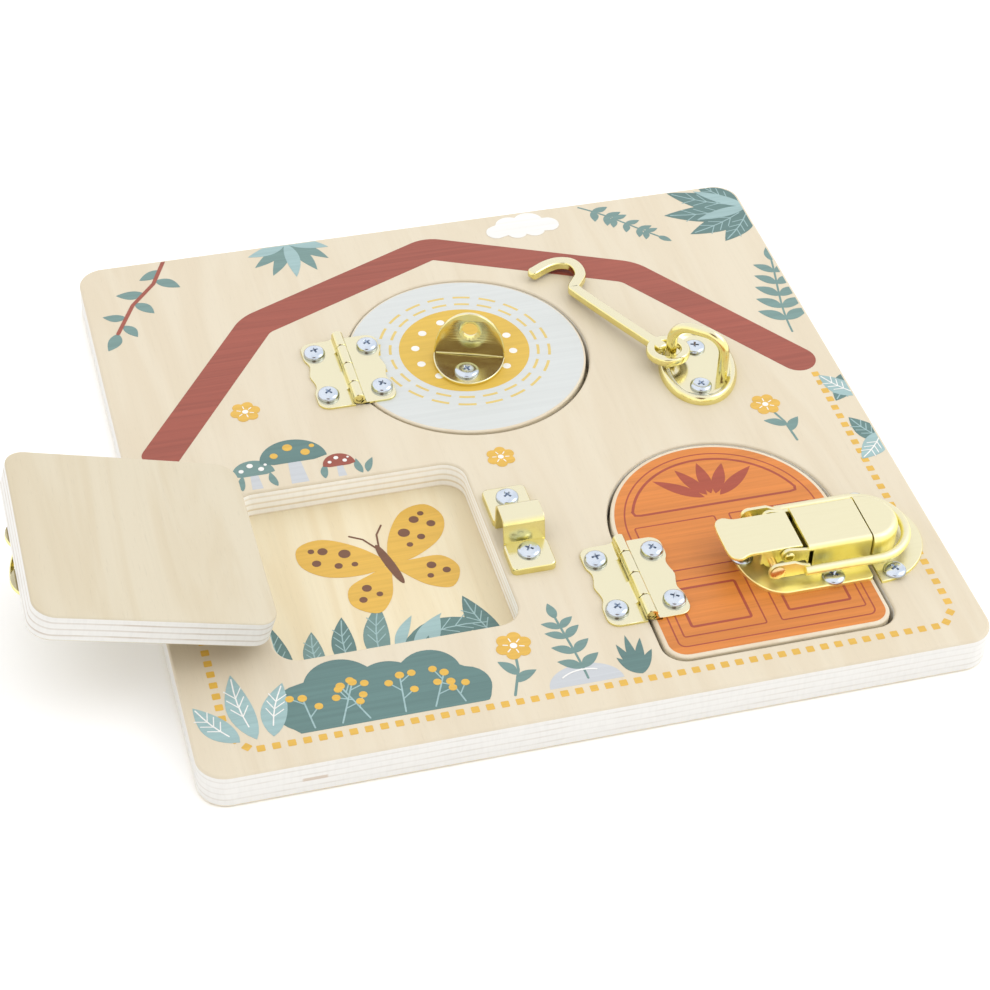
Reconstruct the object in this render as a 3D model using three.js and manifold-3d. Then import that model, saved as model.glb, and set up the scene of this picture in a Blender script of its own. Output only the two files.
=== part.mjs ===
// Wooden latch board: a plywood play board with three hinged doors, a barrel bolt and its keeper,
// a cabin hook with its staple and eye plate, and a toggle latch with its catch.
// Millimetres, +X right, +Y to the back edge, +Z up. The origin is the centre of the underside.
import * as THREE from "three";
import { mergeVertices } from "three/addons/utils/BufferGeometryUtils.js";
import Module from "manifold-3d";

const wasm = await Module();
wasm.setup();

// Board: a front board with three openings, glued to a plain back panel
const boardSide = 300;
const boardThick = 12;
const boardCorner = 11;
const boardEdgeRound = 1.2;
const backThick = 3.7;

// Doors in general
const doorThick = 11.6;
const doorProud = 0.3;
const doorEdgeRound = 0.8;
const turnedSeat = 0.3;

// Square opening and door, open at rest
const squareSide = 92.5;
const squareFromArch = 45.45;
const squareFromFront = 49.85;
const squareCorner = 9;
const squareHingeGap = 1.05;
const squareFreeGap = 1.95;
const squareEndGap = 1.5;
const squareHingeBack = 0.55;
const squareOpenDegrees = 164;

// Round opening and door
const roundCentreX = 0.3;
const roundFromBack = 93.5;
const roundRadius = 51;
const roundGap = 1;
const roundShift = 0.5;
const roundHingeBack = 0.3;
const roundHingeDown = 0.5;

// Arched opening and door
const archWidth = 91.6;
const archStraightHigh = 68.8;
const archFromRight = 32.7;
const archFromFront = 15.8;
const archCorner = 9;
const archHingeGap = 1.1;
const archFreeGap = 1.7;
const archEndGap = 1.3;
const archHingeIn = 0.8;
const archHingeUp = 43.7;

// Butt hinges
const hingeLength = 43;
const leafReach = 16.3;
const leafWaistReach = 14.9;
const leafCrestReach = 16;
const leafThick = 1;
const leafCorner = 5;
const leafLobeShare = 0.42;
const leafWaistShare = 0.3;
const leafShoulderShare = 0.1;
const knuckleRadius = 2.4;
const knuckleLift = 0.8;
const knuckleGap = 0.35;
const knuckleShares = [0.22, 0.285, 0.275, 0.22];
const hingePinRadius = 1.25;
const hingePinInset = 0.4;
const hingeScrewOut = 11.2;
const hingeScrewFromEnd = 7.8;
const turnClear = 0.13;

// Screws, with a tall pan head or a low one
const screwHeadRadius = 4;
const screwFlatRadius = 2.5;
const screwHeadHigh = 3;
const screwLowHigh = 1.9;
const screwRimHigh = 0.8;
const screwShankRadius = 1.5;
const screwLength = 9.5;
const screwPoint = 2;
const screwClear = 0.15;
const recessWidth = 0.9;
const recessLong = 4;
const recessDeep = 1.2;

// Staple: an oval dished plate with a wire ring, which carries the hook
const stapleFromRight = 58.9;
const stapleFromBack = 125;
const stapleTurnDegrees = 77.4;
const stapleLongRadius = 23.5;
const stapleShortRadius = 16.3;
const stapleHigh = 3.6;
const stapleFloor = 1.4;
const stapleEdgeHigh = 0.7;
const stapleRollHigh = 3.13;
const stapleRollIn = 0.85;
const stapleRim = 3.4;
const stapleScrewAlong = 12.6;
const ringLeftOut = 10.1;
const ringLeftUp = 6;
const ringRightOut = 7.5;
const ringRightDown = 8.6;
const ringHigh = 24;
const ringWireRadius = 2.25;
const ringBend = 8.5;

// Hook
const hookTurnDegrees = 113;
const hookTiltDegrees = 2.3;
const hookEyeOffX = -1;
const hookEyeOffY = 1;
const hookEyeHole = 5.25;
const hookEyeRadius = 9.25;
const hookThick = 4.2;
const hookUnder = 4.3;
const hookWide = 5;
const hookChamfer = 0.84;
const hookReach = 78;
const hookBow = 8.2;
const hookReachShares = [0.04, 0.2, 0.45, 0.7, 0.775, 0.85, 0.915, 0.96, 0.975, 0.968];
const hookBowShares = [0.1, 0.2, 0.3, 0.36, -0.28, -0.93, -0.98, -0.5, 0.2, 1.25];

// Eye plate on the round door: a folded oval, one half flat and one half upright
const eyeLeft = 0.05;
const eyeDown = 2.65;
const eyeTurnDegrees = -19.9;
const eyeHalfWidth = 14.2;
const eyeFootLong = 18;
const eyeHigh = 22.9;
const eyeThick = 1.6;
const eyeHoleHigh = 14.1;
const eyeHoleRadius = 3.25;
const eyeSinkRadius = 5;
const eyeSinkDeep = 1;
const eyeScrewOut = 11;
const eyeEdgeRound = 0.4;

// Keeper: a strap screwed to the board, whose bridge takes the bolt
const keeperOut = 11.15;
const keeperDown = 0.5;
const keeperWide = 17.5;
const keeperBack = 24.4;
const keeperFront = 22.2;
const keeperCorner = 3;
const keeperFootHigh = 3.2;
const keeperSheet = 1.2;
const bridgeWide = 16.5;
const bridgeSpan = 11.8;
const bridgeHigh = 13;
const bridgeRound = 2.4;
const keeperScrewBack = 19.4;
const keeperScrewFront = 12.2;

// Barrel bolt on the square door's front face
const boltSetBack = 36.1;
const boltTurnDegrees = 2.5;
const boltLobeX = 15.5;
const boltLobeY = 12.2;
const boltLobeRadius = 9;
const boltWaistIn = 2.5;
const boltPlateThick = 1.6;
const boltGuideLong = 8;
const boltGuideFrontX = 18;
const boltGuideRearX = -14;
const boltGuideSheet = 1.2;
const boltRodRadius = 3.4;
const boltRodClear = 0.4;
const boltRodHigh = 5.7;
const boltRodFront = 20;
const boltRodRear = 26;
const boltRodBevel = 0.8;
const boltKnobX = -7.6;
const boltKnobRadius = 4.2;
const boltKnobHigh = 11.5;
const boltKnobNeck = 6.2;
const boltKnobShoulder = 3.36;
const boltKnobTop = 2.94;
const boltStemRadius = 2;
const boltStemSunk = 2;

// Toggle latch on the arched door: base, housing, lever and bail
const toggleUp = 45.4;
const toggleIn = 1.8;
const toggleLong = 48.7;
const toggleHalf = 22.3;
const toggleEndLong = 15;
const toggleBaseThick = 1.5;
const toggleBaseCorner = 2;
const toggleHigh = 13;
const toggleSheet = 1.5;
const toggleScrewLeftIn = 3;
const toggleScrewRightIn = 15.3;
const toggleScrewHalf = 18.4;
const housingLong = 25.8;
const housingFromCatch = 0.2;
const housingHalf = 11.8;
const housingEar = 3;
const leverPivotOut = 7.8;
const leverPivotHigh = 10;
const leverTabLong = 23.5;
const leverFromHousing = 2;
const leverHalf = 10;
const leverTailHalf = 11.6;
const leverTailLong = 10;
const leverTailShares = [0.72, 0.5, 0.2, 0.04];
const leverTailHalfShares = [0.888, 1, 0.93, 0.7];
const leverLugOuter = 9.9;
const leverLugLong = 10.5;
const leverLugLow = 5.5;
const leverPinRadius = 1.2;
const leverPinHead = 2;
const rivetHeadHigh = 0.9;
const rivetPlay = 0.2;
const bailPivotOut = 6.2;
const bailPivotHigh = 7.5;
const bailPinRadius = 1.5;
const bailPinHead = 2.9;
const bailEarOuter = 16.7;
const bailEarLong = 13.2;
const bailEarRadius = 3.4;
const bailWireRadius = 1.9;
const bailWireHalf = 17.3;
const bailWireHigh = 6.4;

// Catch on the board beside the arched door
const catchFromArch = 0.5;
const catchBoxIn = 0.2;
const catchCentreIn = 0.4;
const catchRadius = 24.3;
const catchThick = 1.2;
const catchBoxCentreIn = 1;
const catchBoxRadius = 13;
const catchBoxRound = 1.6;
const catchBoxWall = 1.2;
const catchScrewIn = 6.8;
const catchScrewHalf = 20;
const plateEdgeRound = 0.3;

// Cutting tools run past the faces that they cut by this much, and vertices closer than the weld join
const overrun = 5;
const weld = 1e-4;

// Derived places
const doorLow = doorProud - doorThick;
const axisHigh = knuckleRadius + knuckleLift;
const archRight = boardSide / 2 - archFromRight;
const archLeft = archRight - archWidth;
const archBottom = archFromFront - boardSide / 2;
const archSpringY = archBottom + archStraightHigh;
const archHingeX = archLeft + archHingeIn;
const archHingeY = archBottom + archHingeUp;
const squareRight = archLeft - squareFromArch;
const squareCentreX = squareRight - squareSide / 2;
const squareCentreY = squareFromFront - boardSide / 2 + squareSide / 2;
const squareHingeX = squareRight - squareSide - squareHingeBack;
const roundCentreY = boardSide / 2 - roundFromBack;
const roundHingeX = roundCentreX - roundRadius - roundHingeBack;
const roundHingeY = roundCentreY - roundHingeDown;
const stapleX = boardSide / 2 - stapleFromRight;
const stapleY = boardSide / 2 - stapleFromBack;
const ringLeftX = stapleX - ringLeftOut;
const ringLeftY = stapleY + ringLeftUp;
const ringRightX = stapleX + ringRightOut;
const ringRightY = stapleY - ringRightDown;
const eyeX = roundCentreX - eyeLeft;
const eyeY = roundCentreY - eyeDown;
const keeperX = squareRight + keeperOut;
const keeperY = squareCentreY - keeperDown;
const boltX = keeperX - boltSetBack;
const boltY = keeperY - boltSetBack * Math.tan(THREE.MathUtils.degToRad(boltTurnDegrees));
const toggleY = archBottom + toggleUp;
const toggleRight = archRight - toggleIn;
const toggleLeft = toggleRight - toggleLong;
const toggleScrewLeftX = toggleLeft + toggleScrewLeftIn;
const toggleScrewRightX = toggleRight - toggleScrewRightIn;
const catchLeft = archRight + catchFromArch;
const catchCentreX = catchLeft + catchCentreIn;
const catchBoxLeft = catchLeft + catchBoxIn;
const catchBoxCentreX = catchLeft + catchBoxCentreIn;
const catchScrewX = catchLeft + catchScrewIn;
const housingRight = catchLeft - housingFromCatch;
const housingLeft = housingRight - housingLong;
const leverPivotX = housingLeft - leverPivotOut;
const leverLeft = leverPivotX - leverTabLong;
const leverRight = housingLeft - leverFromHousing;
const leverLugLeft = leverPivotX - leverLugLong;
const bailPivotX = leverPivotX - bailPivotOut;
const bailEarRight = bailPivotX + bailEarLong;
const bailBendX = catchBoxLeft;
const pilotDeep = screwLength + turnedSeat;

// Materials
const birch = new THREE.MeshStandardMaterial({ color: 0xeee2cd, roughness: 0.6, metalness: 0 });
const paleBlue = new THREE.MeshStandardMaterial({ color: 0xdde4e6, roughness: 0.55, metalness: 0 });
const orange = new THREE.MeshStandardMaterial({ color: 0xe59755, roughness: 0.55, metalness: 0 });
const gold = new THREE.MeshStandardMaterial({ color: 0xf0e2a0, roughness: 0.2, metalness: 1 });
const zinc = new THREE.MeshStandardMaterial({ color: 0xc3ccd2, roughness: 0.3, metalness: 1 });
const copper = new THREE.MeshStandardMaterial({ color: 0xd9905a, roughness: 0.3, metalness: 1 });

// A closed geometry becomes a solid: doubled vertices join, empty faces go, and the faces point out
function solidOf(geometry) {
  const bare = new THREE.BufferGeometry();
  bare.setAttribute("position", geometry.getAttribute("position"));
  bare.setIndex(geometry.getIndex());
  const merged = mergeVertices(bare, weld);
  const corners = merged.getAttribute("position").array;
  const index = merged.getIndex().array;
  const faces = [];
  for (let i = 0; i < index.length; i += 3) {
    const [a, b, c] = [index[i], index[i + 1], index[i + 2]];
    if (a !== b && b !== c && c !== a) faces.push(a, b, c);
  }
  if (signedVolume(corners, faces) < 0) faces.reverse();
  const triVerts = Uint32Array.from(faces);
  return new wasm.Manifold(new wasm.Mesh({ numProp: 3, vertProperties: corners, triVerts }));
}

function signedVolume(corners, faces) {
  const at = (i) => new THREE.Vector3().fromArray(corners, 3 * i);
  let sum = 0;
  for (let i = 0; i < faces.length; i += 3) {
    sum += at(faces[i]).dot(at(faces[i + 1]).cross(at(faces[i + 2])));
  }
  return sum;
}

function addMesh(group, name, solid, material) {
  const data = solid.getMesh();
  const geometry = new THREE.BufferGeometry();
  geometry.setAttribute("position", new THREE.BufferAttribute(Float32Array.from(data.vertProperties), 3));
  geometry.setIndex(Array.from(data.triVerts));
  geometry.computeVertexNormals();
  const mesh = new THREE.Mesh(geometry, material);
  mesh.name = name;
  group.add(mesh);
  return mesh;
}

function addGroup(parent, x, y, z) {
  const group = new THREE.Group();
  group.position.set(x, y, z);
  parent.add(group);
  return group;
}

function arc(x, y, radius, fromDegrees, toDegrees, steps, radiusY = radius) {
  const points = [];
  for (let i = 0; i <= steps; i += 1) {
    const angle = THREE.MathUtils.degToRad(fromDegrees + ((toDegrees - fromDegrees) * i) / steps);
    points.push(new THREE.Vector2(x + radius * Math.cos(angle), y + radiusY * Math.sin(angle)));
  }
  return points;
}

function circle(x, y, radius, steps) {
  return arc(x, y, radius, 0, 360 - 360 / steps, steps - 1);
}

function roundedBox(left, bottom, right, top, corner, steps = 5) {
  return [
    ...arc(right - corner, bottom + corner, corner, -90, 0, steps),
    ...arc(right - corner, top - corner, corner, 0, 90, steps),
    ...arc(left + corner, top - corner, corner, 90, 180, steps),
    ...arc(left + corner, bottom + corner, corner, 180, 270, steps),
  ];
}

function archOutline(left, bottom, right, springY, corner) {
  const radius = (right - left) / 2;
  return [
    ...arc(right - corner, bottom + corner, corner, -90, 0, 5),
    ...arc((left + right) / 2, springY, radius, 0, 180, 24),
    ...arc(left + corner, bottom + corner, corner, 180, 270, 5),
  ];
}

// A flat plate of an outline, from height zero up, with its edges rounded
function slab(outline, thick, round = 0, roundSteps = 1, holes = []) {
  const shape = new THREE.Shape(outline);
  shape.holes = holes.map((hole) => new THREE.Path(hole));
  const geometry = new THREE.ExtrudeGeometry(shape, {
    depth: thick - 2 * round,
    bevelEnabled: round > 0,
    bevelThickness: round,
    bevelSize: round,
    bevelOffset: -round,
    bevelSegments: roundSteps,
  });
  geometry.translate(0, 0, round);
  return solidOf(geometry);
}

function box(left, front, low, right, back, high) {
  const geometry = new THREE.BoxGeometry(right - left, back - front, high - low);
  geometry.translate((left + right) / 2, (front + back) / 2, (low + high) / 2);
  return solidOf(geometry);
}

function cylinderZ(x, y, low, high, radius, sides = 12) {
  const geometry = new THREE.CylinderGeometry(radius, radius, high - low, sides);
  geometry.rotateX(Math.PI / 2);
  geometry.translate(x, y, (low + high) / 2);
  return solidOf(geometry);
}

function cylinderY(x, front, back, z, radius, sides = 12) {
  const geometry = new THREE.CylinderGeometry(radius, radius, back - front, sides);
  geometry.translate(x, (front + back) / 2, z);
  return solidOf(geometry);
}

// An outline drawn in X and Z, as thick as the way from front to back
function sidePlate(outline, front, back) {
  const geometry = new THREE.ExtrudeGeometry(new THREE.Shape(outline), {
    depth: back - front,
    bevelEnabled: false,
  });
  geometry.rotateX(Math.PI / 2);
  geometry.translate(0, back, 0);
  return solidOf(geometry);
}

// A profile of radius and height, turned about the vertical
function turned(profile, sides) {
  const points = profile.map(([radius, high]) => new THREE.Vector2(radius, high));
  const geometry = new THREE.LatheGeometry(points, sides);
  geometry.rotateX(Math.PI / 2);
  return solidOf(geometry);
}

function points2(pairs) {
  return pairs.map(([x, y]) => new THREE.Vector2(x, y));
}

// Round or flat wire along a curve, with the section's first side upright
function wire(curve, section, steps) {
  const geometry = new THREE.ExtrudeGeometry(new THREE.Shape(section), { steps, extrudePath: curve });
  return solidOf(geometry);
}

// Keep only what is above, or below, height zero
function aboveZero(solid) {
  return solid.subtract(box(-boardSide, -boardSide, -boardSide, boardSide, boardSide, 0));
}

function belowZero(solid) {
  return solid.subtract(box(-boardSide, -boardSide, 0, boardSide, boardSide, boardSide));
}

function drill(solid, spots, low, high, radius) {
  return spots.reduce((rest, [x, y]) => rest.subtract(cylinderZ(x, y, low, high, radius)), solid);
}

function pilotHoles(wood, spots, face) {
  return drill(wood, spots, face - pilotDeep, face + overrun, screwShankRadius + screwClear);
}

function screwHoles(plate, spots, high) {
  return drill(plate, spots, -overrun, high + overrun, screwShankRadius + screwClear);
}

// Screws: a turned head and shank with a cross recess, their seat at height zero
function screwSolid(headHigh) {
  const body = turned(
    [
      [0, -screwLength],
      [screwShankRadius, screwPoint - screwLength],
      [screwShankRadius, 0],
      [screwHeadRadius, 0],
      [screwHeadRadius, screwRimHigh],
      [screwFlatRadius, headHigh],
      [0, headHigh],
    ],
    12,
  );
  const [halfLong, halfWide] = [recessLong / 2, recessWidth / 2];
  const low = headHigh - recessDeep;
  const high = headHigh + overrun;
  const slotX = box(-halfLong, -halfWide, low, halfLong, halfWide, high);
  const slotY = box(-halfWide, -halfLong, low, halfWide, halfLong, high);
  return body.subtract(slotX.add(slotY));
}

const panScrew = screwSolid(screwHeadHigh);
const lowScrew = screwSolid(screwLowHigh);

function addScrews(group, name, spots, seat, solid = panScrew) {
  spots.forEach(([x, y], i) => {
    const mesh = addMesh(group, spots.length > 1 ? `${name}_${i + 1}` : name, solid, zinc);
    mesh.position.set(x, y, seat);
  });
}

function hingeSpots(axisX, middleY, side) {
  const x = axisX + side * hingeScrewOut;
  const along = hingeLength / 2 - hingeScrewFromEnd;
  return [
    [x, middleY - along],
    [x, middleY + along],
  ];
}

// The leaf's outline: two lobes that carry the screws, with a pointed crest between two waists
function leafOutline(side) {
  const half = hingeLength / 2;
  const inner = knuckleRadius + knuckleGap;
  const lobeY = half * leafLobeShare;
  const waistY = half * leafWaistShare;
  const upper = [
    ...arc(leafReach - leafCorner, half - leafCorner, leafCorner, 90, 0, 3),
    new THREE.Vector2(leafReach, lobeY),
    new THREE.Vector2(leafWaistReach, waistY),
    new THREE.Vector2((leafWaistReach + leafCrestReach) / 2, half * leafShoulderShare),
    new THREE.Vector2(leafCrestReach, 0),
  ];
  const lower = upper.slice(0, -1).reverse();
  const outline = [new THREE.Vector2(inner, half), ...upper];
  lower.forEach((p) => outline.push(new THREE.Vector2(p.x, -p.y)));
  outline.push(new THREE.Vector2(inner, -half));
  return outline.map((p) => new THREE.Vector2(side * p.x, p.y));
}

// One leaf about its own pin axis. The board's leaf has the even knuckles, the door's the odd ones
function hingeLeaf(side, drop) {
  let leaf = slab(leafOutline(side), leafThick).translate(0, 0, -drop);
  let top = hingeLength / 2;
  knuckleShares.forEach((share, i) => {
    const bottom = top - share * hingeLength;
    const own = i % 2 === (side < 0 ? 0 : 1);
    if (own) {
      const high = i === 0 ? top : top - knuckleGap / 2;
      const low = i === knuckleShares.length - 1 ? bottom : bottom + knuckleGap / 2;
      const [left, right] = [0, side * (knuckleRadius + knuckleGap + leafThick)].sort((a, b) => a - b);
      const tongue = box(left, low, -drop, right, high, leafThick - drop);
      leaf = leaf.add(tongue).add(cylinderY(0, low, high, 0, knuckleRadius));
    }
    top = bottom;
  });
  const reach = hingeLength / 2 + overrun;
  leaf = leaf.subtract(cylinderY(0, -reach, reach, 0, hingePinRadius + turnClear));
  return screwHoles(leaf, hingeSpots(0, 0, side), leafThick);
}

// A hinge: the board's half in the fixed group, the door's half in the door's own group
function addHinge(name, fixed, moving, axisX, middleY, doorSeat) {
  const fixedHalf = addGroup(fixed, axisX, middleY, axisHigh);
  const movingHalf = addGroup(moving, axisX, middleY, axisHigh);
  const doorDrop = axisHigh - doorProud - doorSeat;
  addMesh(fixedHalf, `${name}_hinge_board_leaf`, hingeLeaf(-1, axisHigh), gold);
  addMesh(movingHalf, `${name}_hinge_door_leaf`, hingeLeaf(1, doorDrop), gold);
  const pinHalf = hingeLength / 2 - hingePinInset;
  addMesh(fixedHalf, `${name}_hinge_pin`, cylinderY(0, -pinHalf, pinHalf, 0, hingePinRadius), gold);
  addScrews(fixedHalf, `${name}_hinge_board_screw`, hingeSpots(0, 0, -1), leafThick - axisHigh);
  addScrews(movingHalf, `${name}_hinge_door_screw`, hingeSpots(0, 0, 1), leafThick - doorDrop);
}

// A door's group turns about its hinge axis, and its children use the board's own coordinates
function doorGroup(face, axisX, openDegrees) {
  const pivot = addGroup(face, axisX, 0, axisHigh);
  pivot.rotation.y = -THREE.MathUtils.degToRad(openDegrees);
  return addGroup(pivot, -axisX, 0, -axisHigh);
}

// Where each group of screws goes, in the board face's coordinates
const stapleTurn = THREE.MathUtils.degToRad(stapleTurnDegrees);
const stapleSpots = [-1, 1].map((end) => [
  stapleX + end * stapleScrewAlong * Math.cos(stapleTurn),
  stapleY + end * stapleScrewAlong * Math.sin(stapleTurn),
]);
const keeperSpots = [
  [keeperX, keeperY + keeperScrewBack],
  [keeperX, keeperY - keeperScrewFront],
];
const catchSpots = [
  [catchScrewX, toggleY - catchScrewHalf],
  [catchScrewX, toggleY + catchScrewHalf],
];
const toggleSpots = [
  [toggleScrewLeftX, toggleY],
  [toggleScrewRightX, toggleY - toggleScrewHalf],
  [toggleScrewRightX, toggleY + toggleScrewHalf],
];
const eyeTurn = THREE.MathUtils.degToRad(eyeTurnDegrees);
const eyeSpots = [[eyeX + eyeScrewOut * Math.sin(eyeTurn), eyeY - eyeScrewOut * Math.cos(eyeTurn)]];
const boltTurn = THREE.MathUtils.degToRad(boltTurnDegrees);
const boltLocalSpots = [
  [boltLobeX, -boltLobeY],
  [boltLobeX, boltLobeY],
  [-boltLobeX, -boltLobeY],
  [-boltLobeX, boltLobeY],
];
const boltSpots = boltLocalSpots.map(([x, y]) => [
  boltX + x * Math.cos(boltTurn) - y * Math.sin(boltTurn),
  boltY + x * Math.sin(boltTurn) + y * Math.cos(boltTurn),
]);

// Front board and back panel
function frontBoard() {
  const half = boardSide / 2;
  const squareHalf = squareSide / 2;
  const squareHole = roundedBox(
    squareCentreX - squareHalf,
    squareCentreY - squareHalf,
    squareCentreX + squareHalf,
    squareCentreY + squareHalf,
    squareCorner,
  );
  const holes = [
    squareHole,
    circle(roundCentreX, roundCentreY, roundRadius, 48),
    archOutline(archLeft, archBottom, archRight, archSpringY, archCorner),
  ];
  const outline = roundedBox(-half, -half, half, half, boardCorner);
  const thick = boardThick + boardEdgeRound;
  const wood = slab(outline, thick, boardEdgeRound, 1, holes).translate(0, 0, -boardEdgeRound);
  const spots = [
    ...hingeSpots(squareHingeX, squareCentreY, -1),
    ...hingeSpots(roundHingeX, roundHingeY, -1),
    ...hingeSpots(archHingeX, archHingeY, -1),
    ...stapleSpots,
    ...keeperSpots,
    ...catchSpots,
  ];
  return pilotHoles(aboveZero(wood), spots, boardThick);
}

function backPanel() {
  const half = boardSide / 2;
  const outline = roundedBox(-half, -half, half, half, boardCorner);
  const wood = slab(outline, backThick + boardEdgeRound, boardEdgeRound);
  return belowZero(wood.translate([0, 0, -backThick]));
}

// Doors
function squareDoor() {
  const half = squareSide / 2;
  const left = squareCentreX - half + squareHingeGap;
  const right = squareCentreX + half - squareFreeGap;
  const bottom = squareCentreY - half + squareEndGap;
  const top = squareCentreY + half - squareEndGap;
  const outline = roundedBox(left, bottom, right, top, squareCorner - squareEndGap / 2);
  const wood = slab(outline, doorThick, doorEdgeRound).translate(0, 0, doorLow);
  return pilotHoles(wood, [...hingeSpots(squareHingeX, squareCentreY, 1), ...boltSpots], doorProud);
}

function roundDoor() {
  const outline = circle(roundCentreX - roundShift, roundCentreY, roundRadius - roundGap, 48);
  const wood = slab(outline, doorThick, doorEdgeRound).translate(0, 0, doorLow);
  return pilotHoles(wood, [...hingeSpots(roundHingeX, roundHingeY, 1), ...eyeSpots], doorProud);
}

function archDoor() {
  const left = archLeft + archHingeGap;
  const right = archRight - archFreeGap;
  const corner = archCorner - archEndGap / 2;
  const outline = archOutline(left, archBottom + archEndGap, right, archSpringY, corner);
  const wood = slab(outline, doorThick, doorEdgeRound).translate(0, 0, doorLow);
  return pilotHoles(wood, [...hingeSpots(archHingeX, archHingeY, 1), ...toggleSpots], doorProud);
}

// Staple plate: dished oval with a raised rim, drilled for its screws and the ring's legs
function staplePlate() {
  const inner = stapleShortRadius - stapleRim;
  const plate = turned(
    [
      [0, 0],
      [stapleShortRadius, 0],
      [stapleShortRadius, stapleEdgeHigh],
      [stapleShortRadius - stapleRollIn, stapleRollHigh],
      [stapleShortRadius - stapleRim / 2, stapleHigh],
      [inner, stapleFloor],
      [0, stapleFloor],
    ],
    32,
  );
  const oval = plate.scale([stapleLongRadius / stapleShortRadius, 1, 1]);
  const seated = oval.rotate([0, 0, stapleTurnDegrees]).translate([stapleX, stapleY, 0]);
  const drilled = screwHoles(seated, stapleSpots, stapleHigh);
  const legs = [
    [ringLeftX, ringLeftY],
    [ringRightX, ringRightY],
  ];
  return drill(drilled, legs, -overrun, stapleHigh + overrun, ringWireRadius + screwClear);
}

// Staple ring: two upright legs joined by a bend with round corners
function stapleRing() {
  const left = new THREE.Vector3(ringLeftX, ringLeftY, 0);
  const right = new THREE.Vector3(ringRightX, ringRightY, 0);
  const along = right.clone().sub(left).normalize();
  const top = ringHigh - ringWireRadius;
  const at = (from, way, high) => from.clone().addScaledVector(along, way).setZ(high);
  const path = new THREE.CurvePath();
  const leftLow = at(left, 0, turnedSeat);
  const leftHigh = at(left, 0, top - ringBend);
  const rightHigh = at(right, 0, top - ringBend);
  const rightLow = at(right, 0, turnedSeat);
  const leftTop = at(left, ringBend, top);
  const rightTop = at(right, -ringBend, top);
  path.add(new THREE.LineCurve3(leftLow, leftHigh));
  path.add(new THREE.QuadraticBezierCurve3(leftHigh, at(left, 0, top), leftTop));
  path.add(new THREE.LineCurve3(leftTop, rightTop));
  path.add(new THREE.QuadraticBezierCurve3(rightTop, at(right, 0, top), rightHigh));
  path.add(new THREE.LineCurve3(rightHigh, rightLow));
  return wire(path, circle(0, 0, ringWireRadius, 8), 22);
}

// Hook: an eye and a flat rod whose end bends round to the side, lying along its own X axis
function hookSolid() {
  const half = hookThick / 2;
  const points = hookReachShares.map(
    (share, i) => new THREE.Vector3(share * hookReach, hookBowShares[i] * hookBow, 0),
  );
  const [tall, wide, chamfer] = [hookThick / 2, hookWide / 2, hookChamfer];
  const section = points2([
    [tall, wide - chamfer],
    [tall - chamfer, wide],
    [chamfer - tall, wide],
    [-tall, wide - chamfer],
    [-tall, chamfer - wide],
    [chamfer - tall, -wide],
    [tall - chamfer, -wide],
    [tall, chamfer - wide],
  ]);
  const rod = wire(new THREE.CatmullRomCurve3(points), section, 30);
  const eye = slab(circle(0, 0, hookEyeRadius, 24), hookThick, chamfer).translate([0, 0, -half]);
  const hole = cylinderZ(0, 0, -half - overrun, half + overrun, hookEyeHole, 16);
  return rod.add(eye).subtract(hole);
}

function addHook(face) {
  const pivot = addGroup(face, ringLeftX, ringLeftY, hookUnder + hookThick / 2);
  const turn = addGroup(pivot, hookEyeOffX, hookEyeOffY, 0);
  turn.rotation.z = THREE.MathUtils.degToRad(hookTurnDegrees);
  const mesh = addMesh(turn, "hook", hookSolid(), gold);
  mesh.rotation.y = THREE.MathUtils.degToRad(hookTiltDegrees);
}

// Eye plate on the round door
function eyePlate() {
  const foot = slab(
    [
      new THREE.Vector2(eyeHalfWidth, eyeThick),
      new THREE.Vector2(-eyeHalfWidth, eyeThick),
      ...arc(0, 0, eyeHalfWidth, 180, 360, 14, eyeFootLong),
    ],
    eyeThick,
    eyeEdgeRound,
  );
  const uprightOutline = [
    new THREE.Vector2(-eyeHalfWidth, 0),
    new THREE.Vector2(eyeHalfWidth, 0),
    ...arc(0, eyeThick, eyeHalfWidth, 0, 180, 14, eyeHigh - eyeThick),
  ];
  const upright = slab(uprightOutline, eyeThick, eyeEdgeRound);
  const stood = upright.rotate([90, 0, 0]).translate([0, eyeThick, 0]);
  const hole = cylinderY(0, -overrun, eyeThick + overrun, eyeHoleHigh, eyeHoleRadius, 18);
  const coneGeometry = new THREE.CylinderGeometry(eyeHoleRadius, eyeSinkRadius, eyeSinkDeep, 18);
  coneGeometry.translate(0, eyeSinkDeep / 2, eyeHoleHigh);
  const sink = solidOf(coneGeometry);
  return screwHoles(foot.add(stood).subtract(hole).subtract(sink), [[0, -eyeScrewOut]], eyeThick);
}

function addEyePlate(door) {
  const group = addGroup(door, eyeX, eyeY, doorProud);
  group.rotation.z = eyeTurn;
  addMesh(group, "eye_plate", eyePlate(), gold);
  addScrews(group, "eye_plate_screw", [[0, -eyeScrewOut]], eyeThick);
}

// Keeper: two pressed feet, open below, and a bridge over the bolt's path
function keeperFoot(front, back) {
  const half = keeperWide / 2;
  const outer = slab(roundedBox(-half, front, half, back, keeperCorner, 3), keeperFootHigh, keeperSheet / 2);
  const hollow = roundedBox(
    keeperSheet - half,
    front + keeperSheet,
    half - keeperSheet,
    back - keeperSheet,
    keeperCorner - keeperSheet,
    3,
  );
  const inside = slab(hollow, keeperFootHigh - keeperSheet + overrun).translate([0, 0, -overrun]);
  return outer.subtract(inside);
}

function bridgeProfile(half, high, round) {
  return [
    new THREE.Vector2(-half, 0),
    new THREE.Vector2(half, 0),
    ...arc(half - round, high - round, round, 0, 90, 3),
    ...arc(round - half, high - round, round, 90, 180, 3),
  ];
}

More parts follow.
